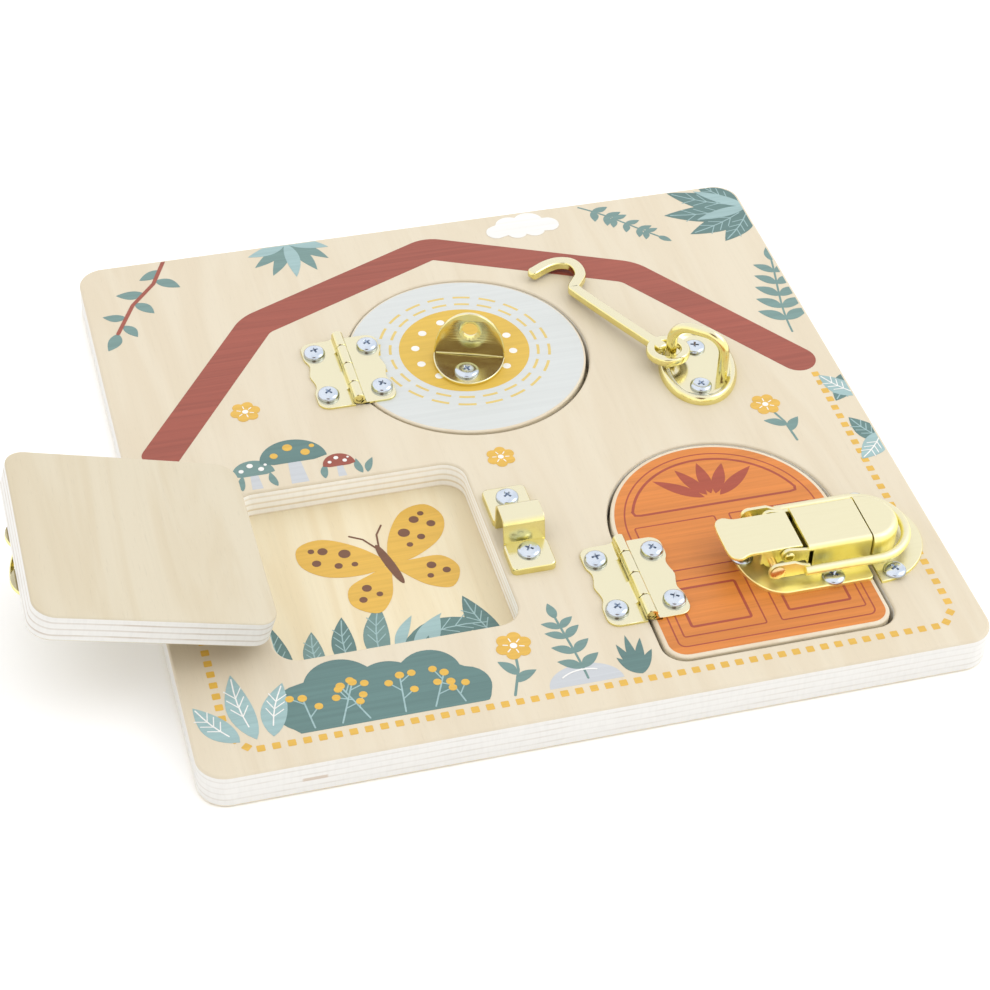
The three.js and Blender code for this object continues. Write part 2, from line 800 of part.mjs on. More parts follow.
// A strap bent over a tunnel that runs along X, from its own base up
function bridge(wide, span, high, sheet, round) {
  const reach = wide / 2;
  const outer = slab(bridgeProfile(span / 2, high, round), wide);
  const innerProfile = bridgeProfile(span / 2 - sheet, high - sheet, round - sheet / 2);
  const inner = slab(innerProfile, wide + 2 * overrun);
  const stand = (solid, out) => solid.rotate([90, 0, 90]).translate([-out, 0, 0]);
  return stand(outer, reach).subtract(stand(inner, reach + overrun));
}

function keeperSolid() {
  const feet = keeperFoot(bridgeSpan / 2 - keeperSheet, keeperBack);
  const front = keeperFoot(-keeperFront, keeperSheet - bridgeSpan / 2);
  const strap = bridge(bridgeWide, bridgeSpan, bridgeHigh, keeperSheet, bridgeRound);
  const spots = [
    [0, keeperScrewBack],
    [0, -keeperScrewFront],
  ];
  return screwHoles(feet.add(front).add(strap), spots, keeperFootHigh);
}

function addKeeper(face) {
  const group = addGroup(face, keeperX, keeperY, 0);
  addMesh(group, "keeper", keeperSolid(), gold);
  const spots = [
    [0, keeperScrewBack],
    [0, -keeperScrewFront],
  ];
  addScrews(group, "keeper_screw", spots, keeperFootHigh);
}

// Barrel bolt: a plate with two guide straps, and a rod with a knob
function boltPlate() {
  const outX = boltLobeX + boltLobeRadius;
  const waistX = outX - boltWaistIn;
  const rightLower = arc(boltLobeX, -boltLobeY, boltLobeRadius, -90, 40, 6);
  const rightUpper = arc(boltLobeX, boltLobeY, boltLobeRadius, -40, 90, 6);
  const outline = [
    ...rightLower,
    new THREE.Vector2(waistX, 0),
    ...rightUpper,
    ...arc(-boltLobeX, boltLobeY, boltLobeRadius, 90, 220, 6),
    new THREE.Vector2(-waistX, 0),
    ...arc(-boltLobeX, -boltLobeY, boltLobeRadius, 140, 270, 6),
  ];
  const plate = slab(outline, boltPlateThick, plateEdgeRound);
  const tunnelHalf = boltRodRadius + boltRodClear;
  const span = 2 * (tunnelHalf + boltGuideSheet);
  const high = boltRodHigh - turnedSeat + tunnelHalf + boltGuideSheet;
  const guide = bridge(boltGuideLong, span, high, boltGuideSheet, tunnelHalf);
  const front = guide.translate([boltGuideFrontX, 0, 0]);
  const rear = guide.translate([boltGuideRearX, 0, 0]);
  return screwHoles(plate.add(front).add(rear), boltLocalSpots, boltPlateThick);
}

function boltRod() {
  const bevel = boltRodBevel;
  const rod = turned(
    [
      [0, -boltRodRear],
      [boltRodRadius - bevel, -boltRodRear],
      [boltRodRadius, bevel - boltRodRear],
      [boltRodRadius, boltRodFront - bevel],
      [boltRodRadius - bevel, boltRodFront],
      [0, boltRodFront],
    ],
    16,
  );
  const lying = rod.rotate([0, 90, 0]);
  const low = boltRodRadius - boltStemSunk - turnedSeat;
  const socket = cylinderZ(boltKnobX, 0, low, boltRodRadius + overrun, boltStemRadius + turnedSeat);
  return lying.subtract(socket);
}

function boltKnob() {
  return turned(
    [
      [0, boltRodRadius - boltStemSunk],
      [boltStemRadius, boltRodRadius - boltStemSunk],
      [boltStemRadius, boltKnobNeck],
      [boltKnobShoulder, boltKnobNeck],
      [boltKnobRadius, (boltKnobNeck + boltKnobHigh) / 2],
      [boltKnobTop, boltKnobHigh],
      [0, boltKnobHigh],
    ],
    14,
  );
}

function addBolt(door) {
  const group = addGroup(door, boltX, boltY, doorProud + turnedSeat);
  group.rotation.z = boltTurn;
  addMesh(group, "bolt_plate", boltPlate(), gold);
  addScrews(group, "bolt_plate_screw", boltLocalSpots, boltPlateThick);
  const rodGroup = addGroup(group, 0, 0, boltRodHigh - turnedSeat);
  addMesh(rodGroup, "bolt_rod", boltRod(), gold);
  const knobGroup = addGroup(rodGroup, boltKnobX, 0, 0);
  addMesh(knobGroup, "bolt_knob", boltKnob(), gold);
}

// Toggle latch, in the board face's X and its own Y from the latch's centre line
function toggleBase() {
  const [cornerX, cornerY] = [toggleRight - toggleBaseCorner, toggleHalf - toggleBaseCorner];
  const outline = [
    ...arc(cornerX, -cornerY, toggleBaseCorner, -90, 0, 2),
    ...arc(cornerX, cornerY, toggleBaseCorner, 0, 90, 2),
    ...arc(toggleLeft + toggleEndLong, 0, toggleEndLong, 90, 270, 18, toggleHalf),
  ];
  const plate = slab(outline, toggleBaseThick, plateEdgeRound);
  return screwHoles(plate, toggleSpots.map(([x, y]) => [x, y - toggleY]), toggleBaseThick);
}

function bothSides(outline, outer) {
  const front = sidePlate(outline, -outer, toggleSheet - outer);
  const back = sidePlate(outline, outer - toggleSheet, outer);
  return front.add(back);
}

function toggleHousing() {
  const low = doorProud + toggleBaseThick;
  const wall = [
    new THREE.Vector2(housingRight, low),
    new THREE.Vector2(housingRight, toggleHigh),
    ...arc(leverPivotX, leverPivotHigh, housingEar, 90, 270, 8),
    new THREE.Vector2(housingLeft, leverPivotHigh - housingEar),
    new THREE.Vector2(housingLeft, low),
  ];
  const roof = box(
    housingLeft,
    -housingHalf,
    toggleHigh - toggleSheet,
    housingRight,
    housingHalf,
    toggleHigh,
  );
  const pin = cylinderY(
    leverPivotX,
    -housingHalf - overrun,
    housingHalf + overrun,
    leverPivotHigh,
    leverPinRadius + turnClear,
  );
  return bothSides(wall, housingHalf).add(roof).subtract(pin);
}

// Lever: a finger tab with a flared tail, and two lugs that carry both pins
function toggleLever() {
  const upper = points2([
    [leverRight, leverHalf],
    [leverLeft + leverTailLong, leverHalf],
    ...leverTailShares.map((share, i) => [
      leverLeft + share * leverTailLong,
      leverTailHalfShares[i] * leverTailHalf,
    ]),
    [leverLeft, 0],
  ]);
  const outline = [...upper];
  upper
    .slice(0, -1)
    .reverse()
    .forEach((p) => outline.push(new THREE.Vector2(p.x, -p.y)));
  const tab = slab(outline, toggleSheet, plateEdgeRound).translate([0, 0, toggleHigh - toggleSheet]);
  const joined = toggleHigh - toggleSheet / 2;
  const lug = [
    new THREE.Vector2(leverRight - toggleSheet, joined),
    new THREE.Vector2(leverLugLeft, joined),
    new THREE.Vector2(leverLugLeft, leverLugLow),
    ...arc(bailPivotX, bailPivotHigh, housingEar, 225, 315, 3),
    new THREE.Vector2(leverPivotX + housingEar, leverPivotHigh - housingEar / 2),
  ];
  const body = tab.add(bothSides(lug, leverLugOuter));
  const reach = leverLugOuter + overrun;
  const leverHole = cylinderY(leverPivotX, -reach, reach, leverPivotHigh, leverPinRadius + turnClear);
  const bailHole = cylinderY(bailPivotX, -reach, reach, bailPivotHigh, bailPinRadius + turnClear);
  return body.subtract(leverHole).subtract(bailHole);
}

// A rivet along Y with a head at each end
function rivet(x, z, outer, radius, headRadius) {
  const shank = outer + rivetPlay;
  const far = shank + rivetHeadHigh;
  const body = cylinderY(x, -shank - rivetHeadHigh / 2, shank + rivetHeadHigh / 2, z, radius);
  const headFront = cylinderY(x, -far, -shank, z, headRadius);
  const headBack = cylinderY(x, shank, far, z, headRadius);
  return body.add(headFront).add(headBack);
}

// Bail: two riveted ears and a wire loop that goes round the catch
function toggleBail() {
  const ear = [
    ...arc(bailPivotX, bailPivotHigh, bailEarRadius, 90, 230, 6),
    new THREE.Vector2(bailEarRight - bailWireRadius, bailWireHigh - bailWireRadius),
    new THREE.Vector2(bailEarRight, bailWireHigh),
    new THREE.Vector2(bailEarRight, bailWireHigh + bailWireRadius),
    new THREE.Vector2(bailPivotX + 2 * bailEarRadius, bailPivotHigh + bailEarRadius),
  ];
  const start = bailEarRight - bailWireRadius;
  const path = new THREE.CurvePath();
  const at = (x, y) => new THREE.Vector3(x, y, 0);
  path.add(new THREE.LineCurve3(at(start, -bailWireHalf), at(bailBendX, -bailWireHalf)));
  const bend = arc(bailBendX, 0, bailWireHalf, -90, 90, 14).map((p) => at(p.x, p.y));
  path.add(new THREE.CatmullRomCurve3(bend));
  path.add(new THREE.LineCurve3(at(bailBendX, bailWireHalf), at(start, bailWireHalf)));
  const loop = wire(path, circle(0, 0, bailWireRadius, 8), 30).translate([0, 0, bailWireHigh]);
  const reach = bailEarOuter + overrun;
  const hole = cylinderY(bailPivotX, -reach, reach, bailPivotHigh, bailPinRadius + turnClear);
  return bothSides(ear, bailEarOuter).add(loop).subtract(hole);
}

function addToggle(door) {
  const group = addGroup(door, 0, toggleY, 0);
  const base = addMesh(group, "toggle_base", toggleBase(), gold);
  base.position.z = doorProud;
  const seat = doorProud + toggleBaseThick;
  addScrews(group, "toggle_base_screw", toggleSpots.map(([x, y]) => [x, y - toggleY]), seat, lowScrew);
  addMesh(group, "toggle_housing", toggleHousing(), gold);
  addMesh(group, "toggle_lever", toggleLever(), gold);
  const leverPin = rivet(leverPivotX, leverPivotHigh, housingHalf, leverPinRadius, leverPinHead);
  addMesh(group, "lever_pin", leverPin, gold);
  const bailPin = rivet(bailPivotX, bailPivotHigh, bailEarOuter, bailPinRadius, bailPinHead);
  addMesh(group, "bail_pin", bailPin, copper);
  addMesh(group, "toggle_bail", toggleBail(), gold);
}

// Catch: a half-round plate with a raised half-round box
function catchPlate() {
  const outline = cutCircle(catchLeft, catchCentreX, catchRadius, 28);
  const plate = slab(outline, catchThick, plateEdgeRound);
  return screwHoles(plate, catchSpots.map(([x, y]) => [x, y - toggleY]), catchThick);
}

// An arc closed by a straight left side
function cutCircle(left, centre, radius, steps) {
  const reach = THREE.MathUtils.radToDeg(Math.acos((left - centre) / radius));
  return arc(centre, 0, radius, -reach, reach, steps);
}

function catchBoxOutline(wall) {
  return cutCircle(catchBoxLeft + wall, catchBoxCentreX, catchBoxRadius - wall, 18);
}

function catchBox() {
  const high = toggleHigh - catchThick;
  const outer = slab(catchBoxOutline(0), high + catchBoxRound, catchBoxRound, 2);
  const raised = aboveZero(outer.translate([0, 0, -catchBoxRound]));
  const inner = slab(catchBoxOutline(catchBoxWall), high - catchBoxWall + overrun);
  return raised.subtract(inner.translate([0, 0, -overrun]));
}

function addCatch(face) {
  const group = addGroup(face, 0, toggleY, 0);
  addMesh(group, "catch_plate", catchPlate(), gold);
  const raised = addMesh(group, "catch_box", catchBox(), gold);
  raised.position.z = catchThick;
  addScrews(group, "catch_screw", catchSpots.map(([x, y]) => [x, y - toggleY]), catchThick);
}

// The whole board
const latchBoard = new THREE.Group();
const back = addMesh(latchBoard, "back_panel", backPanel(), birch);
back.position.z = backThick;
const front = addMesh(latchBoard, "front_board", frontBoard(), birch);
front.position.z = backThick;

const face = addGroup(latchBoard, 0, 0, backThick + boardThick);
const squareGroup = doorGroup(face, squareHingeX, squareOpenDegrees);
const roundGroup = doorGroup(face, roundHingeX, 0);
const archGroup = doorGroup(face, archHingeX, 0);

addMesh(squareGroup, "square_door", squareDoor(), birch);
addMesh(roundGroup, "round_door", roundDoor(), paleBlue);
addMesh(archGroup, "arched_door", archDoor(), orange);

addHinge("square", face, squareGroup, squareHingeX, squareCentreY, turnedSeat);
addHinge("round", face, roundGroup, roundHingeX, roundHingeY, 0);
addHinge("arched", face, archGroup, archHingeX, archHingeY, 0);

addMesh(face, "staple_plate", staplePlate(), gold);
addMesh(face, "staple_ring", stapleRing(), gold);
addScrews(face, "staple_screw", stapleSpots, stapleFloor, lowScrew);
addHook(face);
addEyePlate(roundGroup);
addKeeper(face);
addBolt(squareGroup);
addToggle(archGroup);
addCatch(face);

export default latchBoard;
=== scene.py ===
import math

import bmesh
import bpy
from mathutils import Matrix, Vector
from mathutils.geometry import tessellate_polygon


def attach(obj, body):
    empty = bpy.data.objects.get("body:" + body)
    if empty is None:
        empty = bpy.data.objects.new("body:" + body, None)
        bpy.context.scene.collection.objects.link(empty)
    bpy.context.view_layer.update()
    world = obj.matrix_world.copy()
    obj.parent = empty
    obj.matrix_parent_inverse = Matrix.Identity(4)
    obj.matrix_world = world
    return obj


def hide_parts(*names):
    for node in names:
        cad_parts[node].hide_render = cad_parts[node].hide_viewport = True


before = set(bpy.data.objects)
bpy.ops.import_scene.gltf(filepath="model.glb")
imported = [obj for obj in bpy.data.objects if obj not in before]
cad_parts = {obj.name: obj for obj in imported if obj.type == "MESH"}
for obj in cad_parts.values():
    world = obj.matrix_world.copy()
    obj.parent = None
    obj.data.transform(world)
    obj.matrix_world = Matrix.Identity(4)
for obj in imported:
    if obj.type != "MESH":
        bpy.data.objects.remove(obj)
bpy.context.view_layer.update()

# Shapes are written in millimetres, in the board face's own coordinates: X to the right, Y to the
# back, Z up from the board's top face. Object coordinates in the materials are the same, in metres.
MM = 0.001
FACE = 15.7  # the board's top face above the table
PLY = 12  # the front board's thickness
AXIS = 3.2  # the hinge pins above the board's face
PROUD = 0.3  # the doors' faces above the board's face
DOOR_THICK = 11.6
DOOR_LOW = PROUD - DOOR_THICK
OPEN = 164  # how far the square door stands open in the photo, in degrees
SQUARE_HINGE = (-112.8, -53.9)
ROUND_HINGE = (-51.0, 56.0)
ARCH_HINGE = (26.5, -90.5)
ROUND_HOLE = (0.3, 56.5)  # the middle of the round opening
UP = Vector((0, 0, 1))


def moved(x, y, z):
    return Matrix.Translation((x * MM, y * MM, z * MM))


def spun(degrees, axis="Z"):
    return Matrix.Rotation(math.radians(degrees), 4, axis)


FACE_AT = moved(0, 0, FACE)
SQUARE_AT = moved(SQUARE_HINGE[0], 0, FACE + AXIS) @ spun(-OPEN, "Y") @ moved(-SQUARE_HINGE[0], 0, -AXIS)


# Plane outlines, counter-clockwise lists of (x, y)
def arc(x, y, radius, start, end, steps, radius_y=None):
    ry = radius if radius_y is None else radius_y
    angles = [math.radians(start + (end - start) * i / steps) for i in range(steps + 1)]
    return [(x + radius * math.cos(a), y + ry * math.sin(a)) for a in angles]


def circle(x, y, radius, steps=64, radius_y=None):
    return arc(x, y, radius, 0, 360 - 360 / steps, steps - 1, radius_y)


def polar(x, y, radius, degrees):
    """The point at this distance and angle from x, y."""
    a = math.radians(degrees)
    return x + radius * math.cos(a), y + radius * math.sin(a)


def rounded_box(left, bottom, right, top, corner, steps=8):
    return (
        arc(right - corner, bottom + corner, corner, -90, 0, steps)
        + arc(right - corner, top - corner, corner, 0, 90, steps)
        + arc(left + corner, top - corner, corner, 90, 180, steps)
        + arc(left + corner, bottom + corner, corner, 180, 270, steps)
    )


def arch(left, bottom, right, spring, corner, steps=8):
    return (
        arc(right - corner, bottom + corner, corner, -90, 0, steps)
        + arc((left + right) / 2, spring, (right - left) / 2, 0, 180, 56)
        + arc(left + corner, bottom + corner, corner, 180, 270, steps)
    )


def mirrored(outline):
    return [(-x, y) for x, y in reversed(outline)]


def unit(x, y):
    size = math.hypot(x, y) or 1.0
    return x / size, y / size


def offset(points, distance):
    """The outline moved inward by a distance, or outward by a negative one."""
    if abs(distance) < 1e-9:
        return list(points)
    shifted_points = []
    for i, (x, y) in enumerate(points):
        ax, ay = unit(x - points[i - 1][0], y - points[i - 1][1])
        after = points[(i + 1) % len(points)]
        bx, by = unit(after[0] - x, after[1] - y)
        share = distance / max(1 + ax * bx + ay * by, 0.35)
        shifted_points.append((x - (ay + by) * share, y + (ax + bx) * share))
    return shifted_points


# Shells: a list of points and a list of faces
def joined(shells):
    points, faces = [], []
    for shell_points, shell_faces in shells:
        base = len(points)
        points += shell_points
        faces += [[base + i for i in face] for face in shell_faces]
    return points, faces


def placed(shell, matrix):
    return [tuple(matrix @ Vector(p)) for p in shell[0]], shell[1]


def shifted(shell, x, y, z):
    return placed(shell, Matrix.Translation((x, y, z)))


def standing(shell):
    """A shell whose plan was drawn in X and Z."""
    return [(x, y, z) for x, z, y in shell[0]], shell[1]


def lengthwise(shell):
    """A shell whose plan was drawn in Y and Z."""
    return [(x, y, z) for y, z, x in shell[0]], shell[1]


def rounding(radius, steps):
    """Pairs of (inset, height) over a quarter round that begins at the flat face."""
    turns = [math.pi / 2 * i / steps for i in range(steps + 1)]
    return [(radius * (1 - math.sin(t)), radius * (1 - math.cos(t))) for t in turns]


def walls(base, size, rows):
    """The faces between rows of as many points each, of which the first begins at base."""
    faces = []
    for row in range(base, base + size * (rows - 1), size):
        for i in range(size):
            j = (i + 1) % size
            faces.append([row + i, row + j, row + size + j, row + size + i])
    return faces


def stacked(rows):
    """A closed shell through rows of as many points each."""
    size = len(rows[0])
    points = [p for row in rows for p in row]
    ends = [list(range(size)), list(range(len(points) - size, len(points)))]
    return points, walls(0, size, len(rows)) + ends


def prism(outline, low, high, top=0.0, bottom=0.0, holes=(), steps=4, sink=None):
    """A closed plate with rounded edges. sink widens the holes at the top: (more radius, depth)."""
    lower = rounding(bottom, steps) if bottom else [(0.0, 0.0)]
    upper = rounding(top, steps) if top else [(0.0, 0.0)]
    levels = [(inset, low + up) for inset, up in lower]
    levels += [(inset, high - down) for inset, down in reversed(upper)]
    points, faces, loops = [], [], []
    for number, contour in enumerate([outline, *holes]):
        rows = levels
        if number and sink:
            rows = [(0.0, low), (0.0, high - sink[1]), (sink[0], high)]
        base, size = len(points), len(contour)
        for inset, z in rows:
            points += [(x, y, z) for x, y in offset(contour, -inset if number else inset)]
        faces += walls(base, size, len(rows))
        loops.append((range(base, base + size), range(len(points) - size, len(points))))
    for rims in zip(*loops):
        if holes:
            order = [i for rim in rims for i in rim]
            rings = [[Vector((points[i][0], points[i][1], 0)) for i in rim] for rim in rims]
            faces += [[order[i] for i in face] for face in tessellate_polygon(rings)]
        else:
            faces.append(list(rims[0]))
    return points, faces


def turned(profile, sides=32, closed=False):
    """A profile of (radius, height) turned about the vertical."""
    points, faces, rows = [], [], []
    for radius, z in profile:
        if radius < 1e-6:
            rows.append([len(points)])
            points.append((0.0, 0.0, z))
        else:
            rows.append(list(range(len(points), len(points) + sides)))
            points += [(x, y, z) for x, y in circle(0, 0, radius, sides)]
    pairs = list(zip(rows, rows[1:]))
    if closed:
        pairs.append((rows[-1], rows[0]))
    for a, b in pairs:
        for i in range(sides):
            j = (i + 1) % sides
            face = [a[i % len(a)], a[j % len(a)], b[j % len(b)], b[i % len(b)]]
            face = [v for k, v in enumerate(face) if v != face[k - 1]]
            if len(face) > 2:
                faces.append(face)
    return points, faces


def sweep(path, section, up=UP, ends=0.0):
    """A section of (side, up) carried along a path. ends rounds the two ends by that length."""
    path = [Vector(p) for p in path]
    last = len(path) - 1
    ways = [(path[min(i + 1, last)] - path[max(i - 1, 0)]).normalized() for i in range(last + 1)]
    sides = [way.cross(up).normalized() for way in ways]
    highs = [side.cross(way).normalized() for side, way in zip(sides, ways)]
    stations = [(at, side, high, 1.0) for at, side, high in zip(path, sides, highs)]
    if ends:
        for a in [math.pi / 2 * k / 4 for k in range(1, 5)]:
            scale = max(math.cos(a), 0.06)
            reach = ends * math.sin(a)
            stations.insert(0, (path[0] - ways[0] * reach, sides[0], highs[0], scale))
            stations.append((path[-1] + ways[-1] * reach, sides[-1], highs[-1], scale))
    rows = []
    for at, side, high, scale in stations:
        rows.append([tuple(at + side * (s * scale) + high * (h * scale)) for s, h in section])
    return stacked(rows)


def catmull(a, b, c, d, t):
    """A point of a smooth curve from b to c, with a before them and d behind."""
    bend = (2 * a - 5 * b + 4 * c - d) * t * t
    return 0.5 * (2 * b + (c - a) * t + bend + (3 * b - a - 3 * c + d) * t * t * t)


def smooth_path(points, steps):
    """A smooth open curve through the points."""
    pts = [Vector(p) for p in points]
    pts = [2 * pts[0] - pts[1], *pts, 2 * pts[-1] - pts[-2]]
    curve = []
    for i in range(1, len(pts) - 2):
        curve += [catmull(*pts[i - 1 : i + 3], k / steps) for k in range(steps)]
    return curve + [pts[-2]]


def closed_curve(points, steps=6):
    """A smooth closed outline through the points."""
    count, curve = len(points), []
    for i in range(count):
        near = [Vector(points[(i + k) % count]) for k in (-1, 0, 1, 2)]
        curve += [tuple(catmull(*near, k / steps)) for k in range(steps)]
    return curve


# Pieces
def mesh_of(name, shell, sharp=38):
    mesh = bpy.data.meshes.new(name)
    mesh.from_pydata([(x * MM, y * MM, z * MM) for x, y, z in shell[0]], [], shell[1])
    work = bmesh.new()
    work.from_mesh(mesh)
    bmesh.ops.recalc_face_normals(work, faces=work.faces)
    work.to_mesh(mesh)
    work.free()
    mesh.shade_smooth()
    mesh.set_sharp_from_angle(angle=math.radians(sharp))
    return mesh


def linked(name, data):
    made = bpy.data.objects.new(name, data)
    bpy.context.scene.collection.objects.link(made)
    return made


def show(name, mesh, body, nodes, at):
    made = linked(name, mesh)
    made.matrix_world = at
    normals = made.modifiers.new("Normals", "WEIGHTED_NORMAL")
    normals.keep_sharp = True
    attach(made, body)
    if nodes:
        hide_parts(*nodes)


def piece(name, shells, material, body, nodes, at=FACE_AT, sharp=38):
    mesh = mesh_of(name, joined(shells), sharp)
    mesh.materials.append(material)
    show(name, mesh, body, nodes, at)


# Materials
def rgb(r, g, b):
    def linear(v):
        v /= 255
        return v / 12.92 if v <= 0.04045 else ((v + 0.055) / 1.055) ** 2.4

    return (linear(r), linear(g), linear(b), 1.0)


LIGHT = 1.35  # the studio's brightness


def seen(r, g, b):
    """The surface colour that shows as this one under the studio light."""
    return (*(v / LIGHT for v in rgb(r, g, b)[:3]), 1.0)


class Paint:
    """A node material, with short calls for the nodes that this scene uses."""

    def __init__(self, name):
        self.material = bpy.data.materials.new(name)
        self.material.use_nodes = True
        self.tree = self.material.node_tree
        self.shader = self.tree.nodes["Principled BSDF"]
        self.coords = self.tree.nodes.new("ShaderNodeTexCoord")

    def link(self, value, socket):
        if hasattr(value, "is_output"):
            self.tree.links.new(value, socket)
        else:
            socket.default_value = value

    def set(self, **values):
        for key, value in values.items():
            self.link(value, self.shader.inputs[key.replace("_", " ")])

    def math(self, operation, *values):
        node = self.tree.nodes.new("ShaderNodeMath")
        node.operation = operation
        for value, socket in zip(values, node.inputs):
            self.link(value, socket)
        return node.outputs[0]

    def noise(self, scale, detail=3.0, roughness=0.5, distortion=0.0, shift=(0, 0, 0)):
        """Noise with its own scale along X, Y and Z, in features for each metre."""
        place = self.tree.nodes.new("ShaderNodeMapping")
        place.inputs["Scale"].default_value = scale
        place.inputs["Location"].default_value = shift
        self.link(self.coords.outputs["Object"], place.inputs["Vector"])
        node = self.tree.nodes.new("ShaderNodeTexNoise")
        self.link(place.outputs[0], node.inputs["Vector"])
        node.inputs["Scale"].default_value = 1.0
        node.inputs["Detail"].default_value = detail
        node.inputs["Roughness"].default_value = roughness
        node.inputs["Distortion"].default_value = distortion
        return node.outputs["Fac"]

    def ramp(self, value, stops):
        node = self.tree.nodes.new("ShaderNodeValToRGB")
        node.color_ramp.interpolation = "EASE"
        elements = node.color_ramp.elements
        while len(elements) < len(stops):
            elements.new(0.5)
        for element, (at, _) in zip(elements, stops):
            element.position = at
        for element, (_, colour) in zip(elements, stops):
            element.color = colour if hasattr(colour, "__len__") else (colour,) * 3 + (1,)
        self.link(value, node.inputs["Fac"])
        return node.outputs["Color"]

    def mix(self, share, a, b, blend="MIX"):
        node = self.tree.nodes.new("ShaderNodeMix")
        node.data_type = "RGBA"
        node.blend_type = blend
        for value, number in ((share, 0), (a, 6), (b, 7)):
            self.link(value, node.inputs[number])
        return node.outputs[2]

    def times(self, a, b):
        return self.mix(1.0, a, b, "MULTIPLY")

    def split(self, name):
        node = self.tree.nodes.new("ShaderNodeSeparateXYZ")
        self.link(self.coords.outputs[name], node.inputs[0])
        return node.outputs

    def bump(self, height, strength, distance):
        node = self.tree.nodes.new("ShaderNodeBump")
        node.inputs["Strength"].default_value = strength
        node.inputs["Distance"].default_value = distance
        self.link(height, node.inputs["Height"])
        self.link(node.outputs[0], self.shader.inputs["Normal"])


def grain(paint, along, seed):
    """Fine streaks, slow figure and short pores of peeled birch. along is 0 for X and 1 for Y."""

    def stretched(long, across, *settings):
        scale = (across, long, across) if along else (long, across, across)
        return paint.noise(scale, *settings, shift=(seed * 3.1, seed * 1.7, 0.0))

    streak = stretched(9.0, 520.0, 4.0, 0.6, 0.6)
    figure = stretched(5.0, 42.0, 3.0, 0.55, 1.6)
    pores = stretched(170.0, 2600.0, 1.0, 0.5)
    return streak, figure, pores


GLUE = (seen(226, 218, 207), seen(208, 192, 175))
FAINT_GLUE = (seen(240, 237, 231), seen(230, 224, 215))
PALE_PLY = seen(247, 245, 240)
CREAM_PLY = seen(236, 222, 192)
PLUG = (-0.1095, -0.0085)  # X and Z of the filled knot in the board's front edge
RIM = 0.1483  # the board's outer edges lie further out than this, its openings' walls further in


def birch(name, pale, warm, seed, low=-0.012, thick=0.012, plies=4, glue=GLUE, ply=PALE_PLY, front=False):
    """Birch plywood: a face with its grain along Y, and edges of pale plies with thin glue lines.
    low and thick give the sheet in metres. The front board's openings have walls with painted light
    and shade: lighter than the other plies, and darker towards the bottom. Its front edge has a filled knot."""
    paint = Paint(name)
    streak, figure, pores = grain(paint, 1, seed)
    face = paint.mix(paint.ramp(figure, [(0.36, 0.0), (0.66, 1.0)]), seen(*pale), seen(*warm))
    face = paint.times(face, paint.ramp(streak, [(0.3, 0.982), (0.5, 1.0), (0.75, 1.008)]))
    face = paint.times(face, paint.ramp(pores, [(0.24, 0.94), (0.36, 1.0)]))
    place = paint.split("Object")
    wander = paint.noise((26.0, 26.0, 0.0), 2.0)
    wander = paint.math("MULTIPLY", paint.math("SUBTRACT", wander, 0.5), 0.0007)
    height = paint.math("ADD", place[2], wander)
    share = paint.math("DIVIDE", paint.math("SUBTRACT", height, low), thick)
    plied = paint.math("FRACT", paint.math("MULTIPLY", share, plies))
    fibre = paint.noise((700.0, 700.0, 160.0), 2.0, 0.6)
    blotch = paint.noise((60.0, 60.0, 500.0), 2.0, 0.5)
    line = paint.mix(paint.ramp(blotch, [(0.4, 0.0), (0.62, 1.0)]), *glue)
    seams = paint.ramp(plied, [(0.0, 1.0), (0.1, 0.55), (0.24, 0.0), (0.86, 0.0), (1.0, 1.0)])
    bands = paint.mix(seams, ply, line)
    if front:
        beside, beyond = (paint.math("ABSOLUTE", place[k]) for k in (0, 1))
        corner = paint.math("MULTIPLY", paint.math("ADD", beside, beyond), 0.516)
        far = paint.math("MAXIMUM", paint.math("MAXIMUM", beside, beyond), corner)
        # Painted light and shade on the openings' walls: lighter than the other plies to lift the shade
        # inside the openings, and painted shade that darkens them towards the bottom.
        painted_wall_shade = paint.ramp(share, [(0.2, 1.0), (0.75, 0.0)])
        line = paint.mix(painted_wall_shade, rgb(227, 220, 206), rgb(213, 198, 170))
        layer = paint.mix(painted_wall_shade, rgb(244, 244, 241), rgb(239, 237, 231))
        seams = paint.ramp(plied, [(0.0, 1.0), (0.12, 0.6), (0.3, 0.0), (0.8, 0.0), (1.0, 1.0)])
        lit_and_shaded_walls = paint.mix(seams, layer, line)
        bands = paint.mix(paint.math("GREATER_THAN", far, RIM), lit_and_shaded_walls, bands)
    bands = paint.times(bands, paint.ramp(fibre, [(0.3, 0.975), (0.6, 1.01)]))
    if front:
        near = paint.math("ABSOLUTE", paint.math("SUBTRACT", place[0], PLUG[0]))
        level = paint.math("ABSOLUTE", paint.math("SUBTRACT", place[2], PLUG[1]))
        across = paint.ramp(paint.math("MULTIPLY", near, 100.0), [(0.4, 1.0), (0.5, 0.0)])
        upward = paint.ramp(paint.math("MULTIPLY", level, 1000.0), [(0.6, 1.0), (0.9, 0.0)])
        inside = paint.mix(across, (0, 0, 0, 1), upward)
        forward = paint.ramp(paint.math("MULTIPLY", place[1], -1.0), [(0.148, 0.0), (0.149, 1.0)])
        bands = paint.mix(paint.times(inside, forward), bands, seen(205, 178, 150))
    flat = paint.ramp(paint.math("ABSOLUTE", paint.split("Normal")[2]), [(0.16, 0.0), (0.3, 1.0)])
    colour = paint.mix(flat, bands, face)
    paint.set(Base_Color=colour, Roughness=paint.ramp(streak, [(0.2, 0.56), (0.8, 0.48)]))
    paint.bump(streak, 0.25, 0.00006)
    return paint.material


